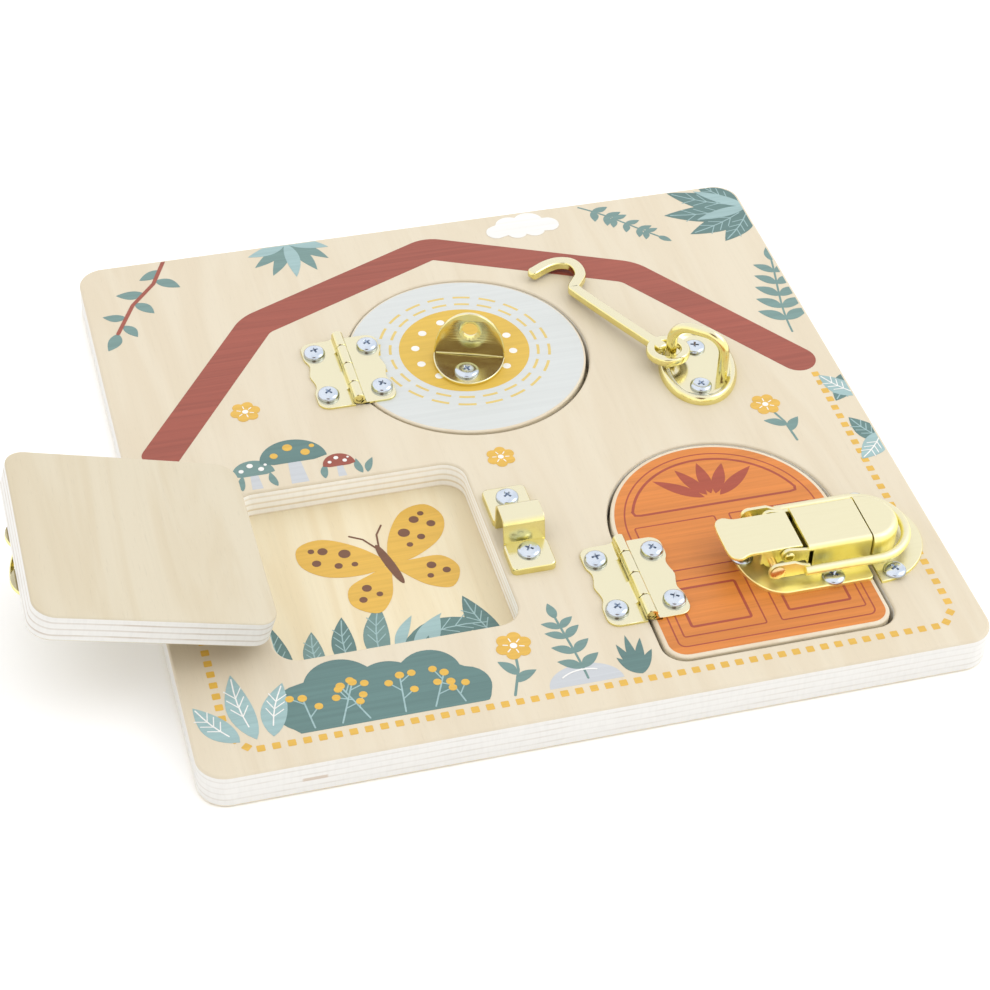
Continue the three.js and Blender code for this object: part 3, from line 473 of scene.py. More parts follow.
def ink(name, colour, seed=0.4, strength=1.0):
    """Printing ink on birch: the wood's streaks show through a little, along X."""
    paint = Paint(name)
    streak, figure, pores = grain(paint, 0, seed)
    low, high = 1 - 0.04 * strength, 1 + 0.03 * strength
    tone = paint.times(seen(*colour), paint.ramp(streak, [(0.3, 1 - 0.09 * strength), (0.7, 1.03)]))
    tone = paint.times(tone, paint.ramp(figure, [(0.3, low), (0.7, high)]))
    tone = paint.times(tone, paint.ramp(pores, [(0.22, 1 - 0.1 * strength), (0.34, 1.0)]))
    paint.set(Base_Color=tone, Roughness=paint.ramp(streak, [(0.2, 0.5), (0.8, 0.42)]))
    paint.bump(streak, 0.2, 0.00005)
    return paint.material


def metal(name, colour, tint, rough, bump, flat=None):
    """Plated metal: slight clouds in colour and gloss, and a faint rolled ripple. flat is painted light
    and shade: a colour for the faces that point up or down, less yellow than the sides."""
    paint = Paint(name)
    cloudy = paint.ramp(paint.noise((160.0, 160.0, 160.0), 3.0, 0.5), [(0.35, 0.0), (0.7, 1.0)])
    tone = paint.mix(cloudy, rgb(*colour), rgb(*tint))
    # Painted light and shade: faces that point up or down take the flat colour instead of the metal's own.
    if flat:
        up = paint.math("ABSOLUTE", paint.split("Normal")[2])
        tone = paint.mix(paint.ramp(up, [(0.35, 0.0), (0.95, 1.0)]), tone, rgb(*flat))
    scratch = paint.noise((60.0, 900.0, 300.0), 2.0, 0.6)
    gloss = paint.ramp(scratch, [(0.3, rough * 0.9), (0.7, rough * 1.12)])
    paint.set(Base_Color=tone, Metallic=1.0, Roughness=gloss)
    paint.bump(paint.noise((90.0, 90.0, 90.0), 2.0, 0.4), bump, 0.0004)
    return paint.material


DOOR_PLY = {"low": -0.0113, "thick": 0.0116}
BACK_PLY = {"low": -0.0157, "thick": 0.0037, "plies": 1}
WOOD = birch("printed_birch_wood", (234, 222, 198), (230, 216, 190), 0.4, glue=FAINT_GLUE, front=True)
BACK_WOOD = birch("back_panel_wood", (249, 236, 203), (243, 226, 188), 2.3, glue=FAINT_GLUE, **BACK_PLY)
DOOR_WOOD = birch("square_door_wood", (224, 213, 188), (218, 204, 175), 5.2, **DOOR_PLY)
ROUND_WOOD = birch("round_door_wood", (240, 230, 208), (234, 219, 192), 7.4, ply=CREAM_PLY, **DOOR_PLY)
ARCH_WOOD = birch("arched_door_wood", (240, 228, 204), (234, 216, 188), 9.1, ply=CREAM_PLY, **DOOR_PLY)
# The last colour of each gold below is painted light and shade: the colour of its faces that point up or
# down.
GOLD = metal("polished_gold", (236, 226, 156), (232, 220, 144), 0.18, 0.012, (212, 206, 178))
# Painted light: the latch's gold is a rougher copy of the gold, for a satin finish, and lighter to stand in
# for the light on its sides.
SATIN_GOLD_PAINTED_LIGHT = metal("satin_gold_painted_light", (252, 243, 164), (248, 238, 150), 0.42, 0.012, (214, 208, 178))
ZINC = metal("bright_zinc", (198, 205, 215), (180, 190, 204), 0.2, 0.03)
# Painted reflection: an orange-tinted gold for the bail pin, which stands in for the orange door mirrored in
# it.
DOOR_REFLECTION_GOLD = metal("gold_painted_door_reflection", (236, 208, 158), (228, 192, 136), 0.24, 0.02)
# Painted light: the latch base's gold is that same lighter gold, with a much paler colour on its top.
BASE_GOLD_PAINTED_LIGHT = metal("base_gold_painted_light", (252, 243, 164), (248, 238, 150), 0.42, 0.012, (250, 240, 172))
RUST = ink("rust_ink", (167, 80, 61), strength=1.6)
TEAL = ink("teal_ink", (118, 152, 148))
DEEP_TEAL = ink("deep_teal_ink", (97, 133, 130))
SKY = ink("pale_teal_ink", (164, 196, 197))
MUSTARD = ink("mustard_ink", (236, 188, 76))
WHITE = ink("white_ink", (252, 251, 247), strength=0.5)
STONE = ink("stone_ink", (208, 212, 217), strength=0.6)
BROWN = ink("brown_ink", (122, 78, 52))
PALE_BLUE = ink("pale_blue_ink", (220, 224, 223), 7.4, 0.2)
YOLK = ink("yolk_ink", (231, 191, 74), 7.4, 0.6)
DASH = ink("dash_ink", (233, 205, 120), 7.4, 0.6)
ORANGE = ink("orange_ink", (229, 137, 52), 9.1, 1.5)
MAROON = ink("maroon_ink", (174, 72, 44), 9.1)


# Wood
def wooden(node, shell, material, body, at=FACE_AT):
    piece(f"{node}_wood", [shell], material, body, [node], at)


def door(node, outline, material, at=FACE_AT):
    wooden(node, prism(outline, DOOR_LOW, PROUD, top=0.8, bottom=0.8), material, node, at)


BOARD_EDGE = 1.2
board = rounded_box(-150, -150, 150, 150, 11, 12)
square_hole = rounded_box(-112.25, -100.15, -19.75, -7.65, 9)
round_hole = circle(*ROUND_HOLE, 51, 96)
arch_hole = arch(25.7, -134.2, 117.3, -65.4, 9)
front_board = prism(board, -PLY, 0, top=BOARD_EDGE, holes=[square_hole, round_hole, arch_hole])
wooden("front_board", front_board, WOOD, "root")
wooden("back_panel", prism(board, -FACE, -PLY, bottom=BOARD_EDGE), BACK_WOOD, "root")
square_door = rounded_box(-111.2, -98.65, -21.7, -9.15, 8.25)
round_door = circle(-0.2, 56.5, 50, 96)
arch_door = arch(26.8, -133.4, 115.6, -65.4, 8.35)
door("square_door", square_door, DOOR_WOOD, SQUARE_AT)
door("round_door", round_door, ROUND_WOOD)
door("arched_door", arch_door, ARCH_WOOD)


# Metal fittings, each in the place of the CAD node that it is named after
def fitting(node, shells, body="root", at=FACE_AT, material=GOLD, sharp=38):
    piece(f"{node}_metal", shells, material, body, [node], at, sharp)


# Screws
def blade(low, high):
    """A cutter for one arm of the slot, tapered downward."""
    corners = [(-1, -1), (1, -1), (1, 1), (-1, 1)]
    sizes = ((0.8, 0.28, low), (2.1, 0.5, high))
    return stacked([[(x * long, y * wide, z) for x, y in corners] for long, wide, z in sizes])


def screw_mesh(name, high, wide=1.0):
    """A screw with a crossed slot; wide scales its head, which is 4.5 mm in radius."""
    rim = 0.24 * high
    shape = [(0, -9.5), (1.5, -7.5), (1.5, 0.0)]
    shape += [(4.35 * wide, 0.0), (4.5 * wide, 0.15), (4.5 * wide, rim)]
    for i in range(1, 7):
        a = math.pi / 2 * i / 6
        shape.append(((2.3 + 2.2 * math.cos(a)) * wide, rim + (high - rim) * 0.93 * math.sin(a)))
    shape += [(1.2, 0.985 * high), (0, high)]
    head = linked(name, mesh_of(name, turned(shape, 36)))
    cutters = []
    for turn in (0, 90):
        cutter = linked("cutter", mesh_of("cutter", placed(blade(high - 1.4, high + 0.3), spun(turn))))
        cut = head.modifiers.new("cut", "BOOLEAN")
        cut.object = cutter
        cut.solver = "EXACT"
        cutters.append(cutter)
    bpy.context.view_layer.update()
    graph = bpy.context.evaluated_depsgraph_get()
    mesh = bpy.data.meshes.new_from_object(head.evaluated_get(graph))
    mesh.name = name
    for used in (head, *cutters):
        bpy.data.objects.remove(used)
    mesh.shade_smooth()
    mesh.set_sharp_from_angle(angle=math.radians(32))
    mesh.materials.clear()
    mesh.materials.append(ZINC)
    return mesh


PAN = screw_mesh("pan_screw", 2.5)
LOW = screw_mesh("low_screw", 1.9)
WIDE = screw_mesh("wide_screw", 1.9, 1.12)


def screw(node, x, y, seat, body, turn, mesh=LOW, at=FACE_AT):
    show(f"{node}_head", mesh, body, [node], at @ moved(x, y, seat) @ spun(turn))


def screws(name, rows, seat, body, mesh=LOW, at=FACE_AT):
    """Numbered screws at each (x, y, angle of the slot)."""
    for number, (x, y, turn) in enumerate(rows, 1):
        screw(f"{name}_screw_{number}", x, y, seat, body, turn, mesh, at)


# Hinges
LEAF_LONG = 43.0
LEAF_THICK = 1.0
KNUCKLES = (0.22, 0.285, 0.275, 0.22)  # their shares of the leaf's length, from the back
KNUCKLE_GAP = 0.175
LYING = spun(-90, "X")


def leaf_outline():
    """The wavy leaf to the right of the pin."""
    upper = [(1.5, LEAF_LONG / 2)] + arc(11.5, LEAF_LONG / 2 - 4.8, 4.8, 90, 8, 7)
    upper += [(16.25, 12.0), (15.9, 10.1), (15.1, 8.4), (14.75, 7.0), (14.8, 5.6)]
    upper += [(15.2, 3.6), (15.75, 1.7), (16.0, 0.0)]
    lower = [(x, -y) for x, y in reversed(upper[:-1])]
    return list(reversed(upper + lower))


def knuckle(low, high):
    outer, inner, edge = 2.4, 1.38, 0.25
    profile = [(inner, low), (outer - edge, low), (outer, low + edge)]
    profile += [(outer, high - edge), (outer - edge, high), (inner, high)]
    return placed(turned(profile, 32, closed=True), LYING.inverted())


def hinge(name, x, y, seat, door_body, turns, door_at=FACE_AT):
    """seat lifts the door's leaf off the door. turns are the angles of the slots in each leaf."""
    leaves = ((-1, "root", 0.0, FACE_AT, "board"), (1, door_body, PROUD + seat, door_at, "door"))
    for number, (side, body, low, at, where) in enumerate(leaves):
        tongue = [(0.2, AXIS - 2.3), (1.3, low + 0.5), (2.5, low), (4.2, low), (4.2, low + 1)]
        tongue += [(3.2, low + 1.05), (2.55, low + 1.5), (2.2, low + 2.2), (1.2, low + 2.2)]
        outline = leaf_outline()
        if side < 0:
            tongue, outline = mirrored(tongue), mirrored(outline)
        shells = [prism(outline, low, low + LEAF_THICK, top=0.3, steps=3)]
        top = LEAF_LONG / 2
        for i, share in enumerate(KNUCKLES):
            bottom = top - share * LEAF_LONG
            if i % 2 == number:
                high = top if i == 0 else top - KNUCKLE_GAP
                under = bottom if i == 3 else bottom + KNUCKLE_GAP
                shells.append(shifted(knuckle(under, high), 0, 0, AXIS))
                shells.append(standing(prism(tongue, under, high)))
            top = bottom
        fitting(f"{name}_hinge_{where}_leaf", [shifted(s, x, y, 0) for s in shells], body, at)
        across = x + side * 11.2
        pair = [(across, y - 13.7, turns[number][0]), (across, y + 13.7, turns[number][1])]
        screws(f"{name}_hinge_{where}", pair, low + LEAF_THICK, body, PAN, at)
    half_pin = [(0, -21.1), (1.05, -21.1), (1.25, -20.9)]
    pin = turned(half_pin + [(r, -z) for r, z in reversed(half_pin)], 24)
    fitting(f"{name}_hinge_pin", [shifted(placed(pin, LYING), x, y, AXIS)])


hinge("square", *SQUARE_HINGE, 0.3, "square_door", ((20, 65), (40, 10)), SQUARE_AT)
hinge("round", *ROUND_HINGE, 0.0, "round_door", ((38, 15), (52, 28)))
hinge("arched", *ARCH_HINGE, 0.0, "arched_door", ((30, 8), (60, 42)))

# Staple plate, ring and hook
STAPLE = (91.1, 25)
STAPLE_TURN = 77.4
dish = [(0, 0), (0, 0.6), (0.12, 1.5), (0.5, 2.5), (1.0, 3.2), (1.55, 3.54), (2.0, 3.55)]
dish += [(2.6, 3.25), (3.2, 2.55), (3.9, 1.85), (4.7, 1.5), (5.8, 1.4)]
rows = [[(x, y, z) for x, y in circle(0, 0, 23.5 - inset, 72, 16.3 - inset)] for inset, z in dish]
fitting("staple_plate", [shifted(placed(stacked(rows), spun(STAPLE_TURN)), *STAPLE, 0)])
ends = [(*polar(*STAPLE, reach, STAPLE_TURN), turn) for reach, turn in ((-12.6, 25), (12.6, 70))]
screws("staple", ends, 1.4, "root")
ring_left, ring_right = Vector((81, 31, 0)), Vector((98.6, 16.4, 0))
ring_along = (ring_right - ring_left).normalized()
ring_top, ring_bend = 21.75, 8.5
ring_path = [ring_left + UP * 0.3, ring_left + UP * 6]
for foot, sign in ((ring_left, 1), (ring_right, -1)):
    bend = []
    for i in range(13):
        a = math.pi / 2 * i / 12
        way = sign * ring_bend * (1 - math.cos(a))
        bend.append(foot + ring_along * way + UP * (ring_top - ring_bend * (1 - math.sin(a))))
    ring_path += bend[::sign]
ring_path += [ring_right + UP * 6, ring_right + UP * 0.3]
fitting("staple_ring", [sweep(ring_path, circle(0, 0, 2.25, 24), ring_along.cross(UP))])


def squarer(value):
    """A circle's sine or cosine, moved towards a square's."""
    return math.copysign(abs(value) ** 0.7, value)


REACH, BOW = 80.4, 8.2
hook_along = [0.04, 0.2, 0.45, 0.685, 0.725, 0.752, 0.79, 0.855, 0.915, 0.96, 0.975, 0.966]
hook_side = [0.1, 0.2, 0.3, 0.36, 0.3, -0.1, -0.66, -0.98, -0.96, -0.5, 0.2, 1.15]
hook_path = smooth_path([(a * REACH, b * BOW, 0) for a, b in zip(hook_along, hook_side)], 10)
rod = sweep(hook_path, rounded_box(-2.5, -2.1, 2.5, 2.1, 1.1, 5), ends=1.9)
turns = [2 * math.pi * i / 20 for i in range(20)]
eye_profile = [(7.25 + 2 * squarer(math.cos(t)), 2.1 * squarer(math.sin(t))) for t in turns]
HOOK_AT = FACE_AT @ moved(80, 32, 6.4) @ spun(113) @ spun(2.3, "Y")
fitting("hook", [rod, turned(eye_profile, 56, closed=True)], "hook", HOOK_AT, sharp=50)

# Eye plate: a foot with a screw, and an upright with a sunk hole
EYE = (0.25, 53.85)
EYE_TURN = -19.9
EYE_HALF = 14.9
PLATE = 1.6
EYE_AT = FACE_AT @ moved(*EYE, PROUD) @ spun(EYE_TURN)
foot = [(EYE_HALF, PLATE), (-EYE_HALF, PLATE)] + arc(0, 0, EYE_HALF, 180, 360, 40, 18.9)
foot = prism(foot, 0, PLATE, top=0.45, bottom=0.2)
upright = [(-EYE_HALF, 0), (EYE_HALF, 0)] + arc(0, PLATE, EYE_HALF, 0, 180, 40, 21.2)
hole = circle(0, 14.1, 3.25, 40)
upright = prism(upright, 0, PLATE, top=0.45, bottom=0.45, holes=[hole], sink=(1.75, 1.0))
upright = ([(x, PLATE - depth, z) for x, z, depth in upright[0]], upright[1])
crease = [(-13.6, 0.1, 1.7), (-6, -0.15, 1.95), (0, -0.2, 2.0), (6, -0.15, 1.95), (13.6, 0.1, 1.7)]
fold = sweep(smooth_path(crease, 6), circle(0, 0, 0.3, 10), ends=0.4)
fitting("eye_plate", [foot, upright, fold], "round_door", EYE_AT)
screw("eye_plate_screw", *polar(*EYE, 11, EYE_TURN - 90), PROUD + PLATE, "round_door", 20, WIDE)


# Keeper and barrel bolt
def bent_sheet(half, low, high, sheet, bend, slack=0.0, splay=0.0):
    """A sheet bent down at both sides and open below, drawn in Y and Z. slack widens the inner
    bend, and splay moves the front foot forward."""
    inside = bend - sheet + slack
    edge, level = half - sheet - inside, high - sheet - inside
    outer = arc(half - bend, high - bend, bend, 0, 90, 8) + arc(bend - half, high - bend, bend, 90, 180, 8)
    inner = arc(edge, level, inside, 0, 90, 8) + arc(-edge, level, inside, 90, 180, 8)
    feet = [(-half - splay, low), (sheet - half - splay, low)]
    return [(half, low)] + outer + feet + inner[::-1] + [(half - sheet, low)]


def strap(half, high, bend, wide, splay=0.0):
    outline = bent_sheet(half, 0, high, 1.2, bend, splay=splay)
    return lengthwise(prism(outline, -wide / 2, wide / 2, top=0.28, bottom=0.28, steps=3))


KEEPER = (-8.6, -54.4)
KEEPER_PLATE = 3.2
keeper = [
    prism(rounded_box(-8.75, 5.3, 8.75, 24.4, 2.2), 0, KEEPER_PLATE, top=1.0),
    prism(rounded_box(-8.75, -22.2, 8.75, -7.1, 2.2), 0, KEEPER_PLATE, top=1.0),
    strap(5.9, 13, 3.5, 16.5, 2.3),
]
fitting("keeper", keeper, "root", FACE_AT @ moved(*KEEPER, 0))
ends = [(KEEPER[0], KEEPER[1] + 17.6, 35), (KEEPER[0], KEEPER[1] - 13.4, 55)]
screws("keeper", ends, KEEPER_PLATE, "root")

BOLT_AT = SQUARE_AT @ moved(-44.7, -55.98, PROUD + 0.3) @ spun(2.5)
half_plate = arc(15.5, -12.2, 9, -90, 40, 12) + [(22.3, -3.6), (22.0, 0), (22.3, 3.6)]
half_plate += arc(15.5, 12.2, 9, -40, 90, 12)
bolt = [prism(half_plate + mirrored(half_plate), 0, PLATE, top=0.4, steps=3)]
bolt += [shifted(strap(5.0, 10.4, 4.9, 8), x, 0, 0) for x in (18, -14)]
fitting("bolt_plate", bolt, "square_door", BOLT_AT)
corners = [(15.5, -12.2, 17), (15.5, 12.2, 48), (-15.5, -12.2, 79), (-15.5, 12.2, 110)]
screws("bolt_plate", corners, PLATE, "square_door", PAN, BOLT_AT)
ROD_AT = BOLT_AT @ moved(0, 0, 5.4)
rod_profile = [(0, -26), (2.6, -26), (3.15, -25.75), (3.4, -25.2)]
rod_profile += [(3.4, 18.4), (3.2, 19.3), (2.6, 19.85), (0, 20)]
fitting("bolt_rod", [placed(turned(rod_profile), spun(90, "Y"))], "bolt", ROD_AT)
knob = [(0, 1.6), (2, 1.6), (2, 5.6), (2.4, 6.1), (3.6, 6.4), (4.15, 7.3), (4.2, 8.6)]
knob += [(3.95, 9.9), (3.3, 10.9), (2.2, 11.4), (0, 11.5)]
fitting("bolt_knob", [shifted(turned(knob), -7.6, 0, 0)], "bolt", ROD_AT)

# Toggle latch
TOGGLE_AT = FACE_AT @ moved(0, -88.8, 0)
TOGGLE_SHEET = 1.5
LEVER_PIN = (84, 10)
BAIL_PIN = (77.8, 7.5)
BAIL_OUTER = 16.7
base = arc(113.5, -20.3, 2, -90, 0, 6) + arc(113.5, 20.3, 2, 0, 90, 6)
base += arc(81.8, 0, 15, 90, 270, 48, 22.3)
base = prism(base, PROUD, PROUD + TOGGLE_SHEET, top=0.45, steps=3)
fitting("toggle_base", [base], "arched_door", TOGGLE_AT, BASE_GOLD_PAINTED_LIGHT)
corners = [(69.8, 0, 15), (100.2, -18.4, 50), (100.2, 18.4, 75)]
screws("toggle_base", corners, PROUD + TOGGLE_SHEET, "arched_door", LOW, TOGGLE_AT)


def side_plates(outline, outer):
    """Two upright plates on both sides of the latch's middle."""
    spans = ((-outer, TOGGLE_SHEET - outer), (outer - TOGGLE_SHEET, outer))
    return [standing(prism(outline, *span, top=0.25, bottom=0.25, steps=2)) for span in spans]


ear = [(94, 1.8), (94, 11.4)] + arc(*LEVER_PIN, 3, 90, 262, 14)
ear += [(90.6, 6.6), (91.6, 5.4), (91.8, 4.4), (91.8, 1.8)]
channel = bent_sheet(11.8, 1.8, 13, TOGGLE_SHEET, 2.0, slack=0.2)
channel = prism(channel, 91.8, 117.6, top=0.25, bottom=0.25, steps=3)
housing = [lengthwise(channel)] + side_plates(ear, 11.8)
fitting("toggle_housing", housing, "arched_door", TOGGLE_AT, SATIN_GOLD_PAINTED_LIGHT)

tab = [(89.8, 10.0), (70.5, 10.0), (68.9, 10.05), (67.4, 10.5), (66.2, 11.2), (65.0, 11.6), (63.6, 11.45)]
tab += [(62.3, 10.8), (61.3, 9.6), (60.8, 8.0), (60.55, 5.0), (60.5, 0.0)]
tab += [(x, -y) for x, y in reversed(tab[:-1])]
lug = [(88.3, 12.3), (73.5, 12.3), (73.5, 6.2)] + arc(*BAIL_PIN, 3.2, 200, 320, 8) + [(87, 8.5)]
lever = [prism(tab, 11.5, 13, top=0.5, bottom=0.3, steps=3)] + side_plates(lug, 9.9)
fitting("toggle_lever", lever, "toggle_lever", TOGGLE_AT, SATIN_GOLD_PAINTED_LIGHT)


def rivet(x, z, outer, radius, head, high=0.9):
    end = outer + 0.2 + high
    half = [(0, -end), (head * 0.55, -end), (head * 0.86, 0.25 - end), (head, 0.6 - end)]
    half += [(head, high - end), (radius, high - end)]
    profile = half + [(r, -y) for r, y in reversed(half)]
    return shifted(placed(turned(profile, 28), LYING), x, 0, z)


fitting("lever_pin", [rivet(*LEVER_PIN, 11.8, 1.2, 2.0)], "arched_door", TOGGLE_AT)
bail_rivet = rivet(*BAIL_PIN, BAIL_OUTER, 1.5, 2.9)
# The bail pin's orange tint is a painted reflection of the orange door.
fitting("bail_pin", [bail_rivet], "toggle_lever", TOGGLE_AT, DOOR_REFLECTION_GOLD)
bail_ear = arc(*BAIL_PIN, 3.4, 90, 235, 12)
bail_ear += [(83, 4.3), (89.1, 4.5), (91, 6.4), (91, 8.3), (87.5, 9.4), (84.6, 10.9)]
straight = [(89.1, -17.3), (95, -17.3), (110, -17.3)]
wire = straight + arc(118, 0, 17.3, -90, 90, 40) + [(x, -y) for x, y in reversed(straight)]
wire = sweep([(x, y, 6.4) for x, y in wire], circle(0, 0, 1.9, 20), ends=0.6)
fitting("toggle_bail", side_plates(bail_ear, BAIL_OUTER) + [wire], "toggle_bail", TOGGLE_AT, SATIN_GOLD_PAINTED_LIGHT)


def cut_circle(left, centre, radius, steps):
    """A disc with its left side cut off."""
    reach = math.degrees(math.acos((left - centre) / radius))
    return arc(centre, 0, radius, -reach, reach, steps)


CATCH_PLATE = 1.2
catch = prism(cut_circle(117.8, 118.2, 24.3, 56), 0, CATCH_PLATE, top=0.4, steps=3)
fitting("catch_plate", [catch], "root", TOGGLE_AT, SATIN_GOLD_PAINTED_LIGHT)
levels = [(0, CATCH_PLATE)] + [(inset, 13 - down) for inset, down in reversed(rounding(3.0, 8))]
rows = [[(x, y, z) for x, y in cut_circle(118, 118.8, 13 - inset, 48)] for inset, z in levels]
fitting("catch_box", [stacked(rows)], "root", TOGGLE_AT, SATIN_GOLD_PAINTED_LIGHT)
screws("catch", [(124.6, -20, 25), (124.6, 20, 62)], CATCH_PLATE, "root", LOW, TOGGLE_AT)

# Prints: ink layers a few hundredths of a millimetre thick, each on the wood that it is printed on.
# A shape that overlaps one before it is drawn a little higher, so that no two faces lie together.
SUNK = 0.01
FIRST_LAYER = 0.03
NEXT_LAYER = 0.02
OVERLAP = 0.0016
PRINTED = rounded_box(-148.6, -148.6, 148.6, 148.6, 10, 8)


def clipped(outline, border):
    """The part of an outline that lies inside a convex border."""
    kept = list(outline)
    for i, (bx, by) in enumerate(border):
        ax, ay = border[i - 1]
        depths = [(bx - ax) * (y - ay) - (by - ay) * (x - ax) for x, y in kept]
        if not kept or min(depths) >= 0:
            continue
        cut = []
        for k, (point, depth) in enumerate(zip(kept, depths)):
            last, before = kept[k - 1], depths[k - 1]
            if (depth >= 0) != (before >= 0):
                t = before / (before - depth)
                cut.append((last[0] + t * (point[0] - last[0]), last[1] + t * (point[1] - last[1])))
            if depth >= 0:
                cut.append(point)
        kept = cut
    return kept


def print_layer(name, shapes, material, layer, body="root", face=0.0, slot="printed_birch"):
    """shapes are outlines, or pairs of an outline and its holes. The board's stop at its rim."""
    shells, ranks = [], []
    for shape in shapes:
        outline, holes = shape if isinstance(shape, tuple) else (shape, [])
        if body == "root" and not holes:
            outline = clipped(outline, PRINTED)
        if len(outline) < 3:
            continue
        xs, ys = [x for x, _ in outline], [y for _, y in outline]
        box = (min(xs), min(ys), max(xs), max(ys))
        near = set()
        for other, rank in ranks:
            if other[0] < box[2] and box[0] < other[2] and other[1] < box[3] and box[1] < other[3]:
                near.add(rank)
        rank = next(k for k in range(len(shapes)) if k not in near)
        ranks.append((box, rank))
        high = face + FIRST_LAYER + NEXT_LAYER * layer + OVERLAP * min(rank, 12)
        shells.append(prism(outline, face - SUNK, high, holes=holes))
    piece(name, shells, material, body, ())


def direction(before, after):
    return math.degrees(math.atan2(after[1] - before[1], after[0] - before[0]))


def strip(points, width, ends="round"):
    """A band along a line of points."""
    count = len(points)
    left, right = [], []
    for i, (x, y) in enumerate(points):
        before, after = points[max(i - 1, 0)], points[min(i + 1, count - 1)]
        ax, ay = unit(x - before[0], y - before[1]) if i else unit(after[0] - x, after[1] - y)
        bx, by = unit(after[0] - x, after[1] - y) if i + 1 < count else (ax, ay)
        share = width / 2 / max(1 + ax * bx + ay * by, 0.35)
        left.append((x - (ay + by) * share, y + (ax + bx) * share))
        right.append((x + (ay + by) * share, y - (ax + bx) * share))
    if ends != "round":
        return right + left[::-1]
    first, last = direction(*points[:2]), direction(*points[-2:])
    head = arc(*points[-1], width / 2, last - 90, last + 90, 8)
    tail = arc(*points[0], width / 2, first + 90, first + 270, 8)
    return right[1:-1] + head + left[-2:0:-1] + tail


def turned_points(points, x, y, angle):
    c, s = math.cos(math.radians(angle)), math.sin(math.radians(angle))
    return [(x + c * px - s * py, y + s * px + c * py) for px, py in points]


def leaf(x, y, angle, length, width, bend=0.0):
    """A pointed leaf that starts at a point."""
    lower, upper = [], []
    for t in [i / 12 for i in range(13)]:
        half = width / 2 * math.sin(math.pi * t**0.85) ** 0.9 if 0 < t < 1 else 0.0
        middle = bend * math.sin(math.pi * t) * length
        lower.append((t * length, middle - half))
        upper.append((t * length, middle + half))
    return turned_points(lower + upper[-2:0:-1], x, y, angle)


def sprig(x, y, angle, length, pairs, leaf_long, leaf_wide, bend, spread):
    """A curved stem with pairs of leaves and one at its tip."""
    shares = [i / 12 for i in range(13)]
    stem = [(t * length, bend * length * math.sin(math.pi * t / 2) * t) for t in shares]
    at = turned_points(stem, x, y, angle)
    shapes = [strip(at, 0.9)]
    for k in range(pairs):
        t = 0.22 + 0.68 * k / max(pairs - 1, 1)
        i = min(int(t * 12), 11)
        way = direction(at[i], at[i + 1])
        size = 1 - 0.3 * t
        for side in (-1, 1):
            shapes.append(leaf(*at[i], way + side * spread, leaf_long * size, leaf_wide * size, -side * 0.06))
    shapes.append(leaf(*at[-1], direction(*at[-2:]), leaf_long * 0.8, leaf_wide * 0.8))
    return shapes


def around(circles, x, y, steps=72):
    """The outline round several circles, seen from a point inside them."""
    outline = []
    for i in range(steps):
        a = 2 * math.pi * i / steps
        dx, dy = math.cos(a), math.sin(a)
        far = 0.0
        for cx, cy, r in circles:
            ox, oy = cx - x, cy - y
            along = ox * dx + oy * dy
            gap = r * r - (ox * ox + oy * oy - along * along)
            if gap > 0:
                far = max(far, along + math.sqrt(gap))
        outline.append((x + dx * far, y + dy * far))
    return outline


def ring_line(outline, width):
    """A closed line that follows an outline."""
    return offset(outline, -width / 2), [offset(outline, width / 2)]


def bent(points, radius, steps=6):
    """A line with its corners rounded."""
    line = [points[0]]
    for before, corner, after in zip(points, points[1:], points[2:]):
        ax, ay = unit(before[0] - corner[0], before[1] - corner[1])
        bx, by = unit(after[0] - corner[0], after[1] - corner[1])
        for k in range(steps + 1):
            t = k / steps
            first, second = radius * (1 - t) ** 2, radius * t * t
            line.append((corner[0] + ax * first + bx * second, corner[1] + ay * first + by * second))
    return line + [points[-1]]


# Dashed border and the roof line
def dash(x, y, angle=0):
    return turned_points(rounded_box(-1.5, -1.5, 1.5, 1.5, 0.4, 3), x, y, angle)


STEP = 5.55
border = [dash(-126.5 + STEP * i, -139.4) for i in range(47)]
border += [dash(138.4, -128 + STEP * i) for i in range(26)]
border += [dash(-137.2, -128 + STEP * i) for i in range(26)]
border += [dash(*p, 45) for p in ((-134.9, -133.3), (-131.2, -137.6), (133.6, -138.1), (137.1, -133.6))]
print_layer("border_print", border, MUSTARD, 0)

ROOF_WIDE = 15.5
roof = bent([(-137.5, 17.6), (-82, 96), (2.5, 132), (83.5, 96), (134.5, 22)], 4)
band = strip(roof, ROOF_WIDE, "flat")
half_band = len(roof)
cap = arc(*roof[-1], ROOF_WIDE / 2, -145.4, 34.6, 16)
slope = unit(roof[1][0] - roof[0][0], roof[1][1] - roof[0][1])
inward = [(x + 12 * slope[0], y + 12 * slope[1]) for x, y in (band[-1], band[0])]
foot_end = bent([inward[0], band[-1], band[0], inward[1]], 5)[1:-1]
roof_outline = foot_end + band[1:half_band] + cap[1:-1] + band[half_band:-1]
print_layer("roof_print", [roof_outline], RUST, 1)

# Generic leaves, flowers, clouds, toadstools and a hedge, gathered by their ink from the lowest up
TONES = {"stone": STONE, "teal": TEAL, "deep_teal": DEEP_TEAL, "pale_teal": SKY, "rust": RUST}
TONES.update({"mustard": MUSTARD, "brown": BROWN, "white": WHITE})
motifs = {tone: [] for tone in TONES}


def add(tone, *shapes):
    motifs[tone] += shapes


def print_motifs(name, face, slot):
    for layer, (tone, material) in enumerate(TONES.items()):
        if motifs[tone]:
            print_layer(f"{name}_{tone}_prints", motifs[tone], material, layer, "root", face, slot)
        motifs[tone] = []


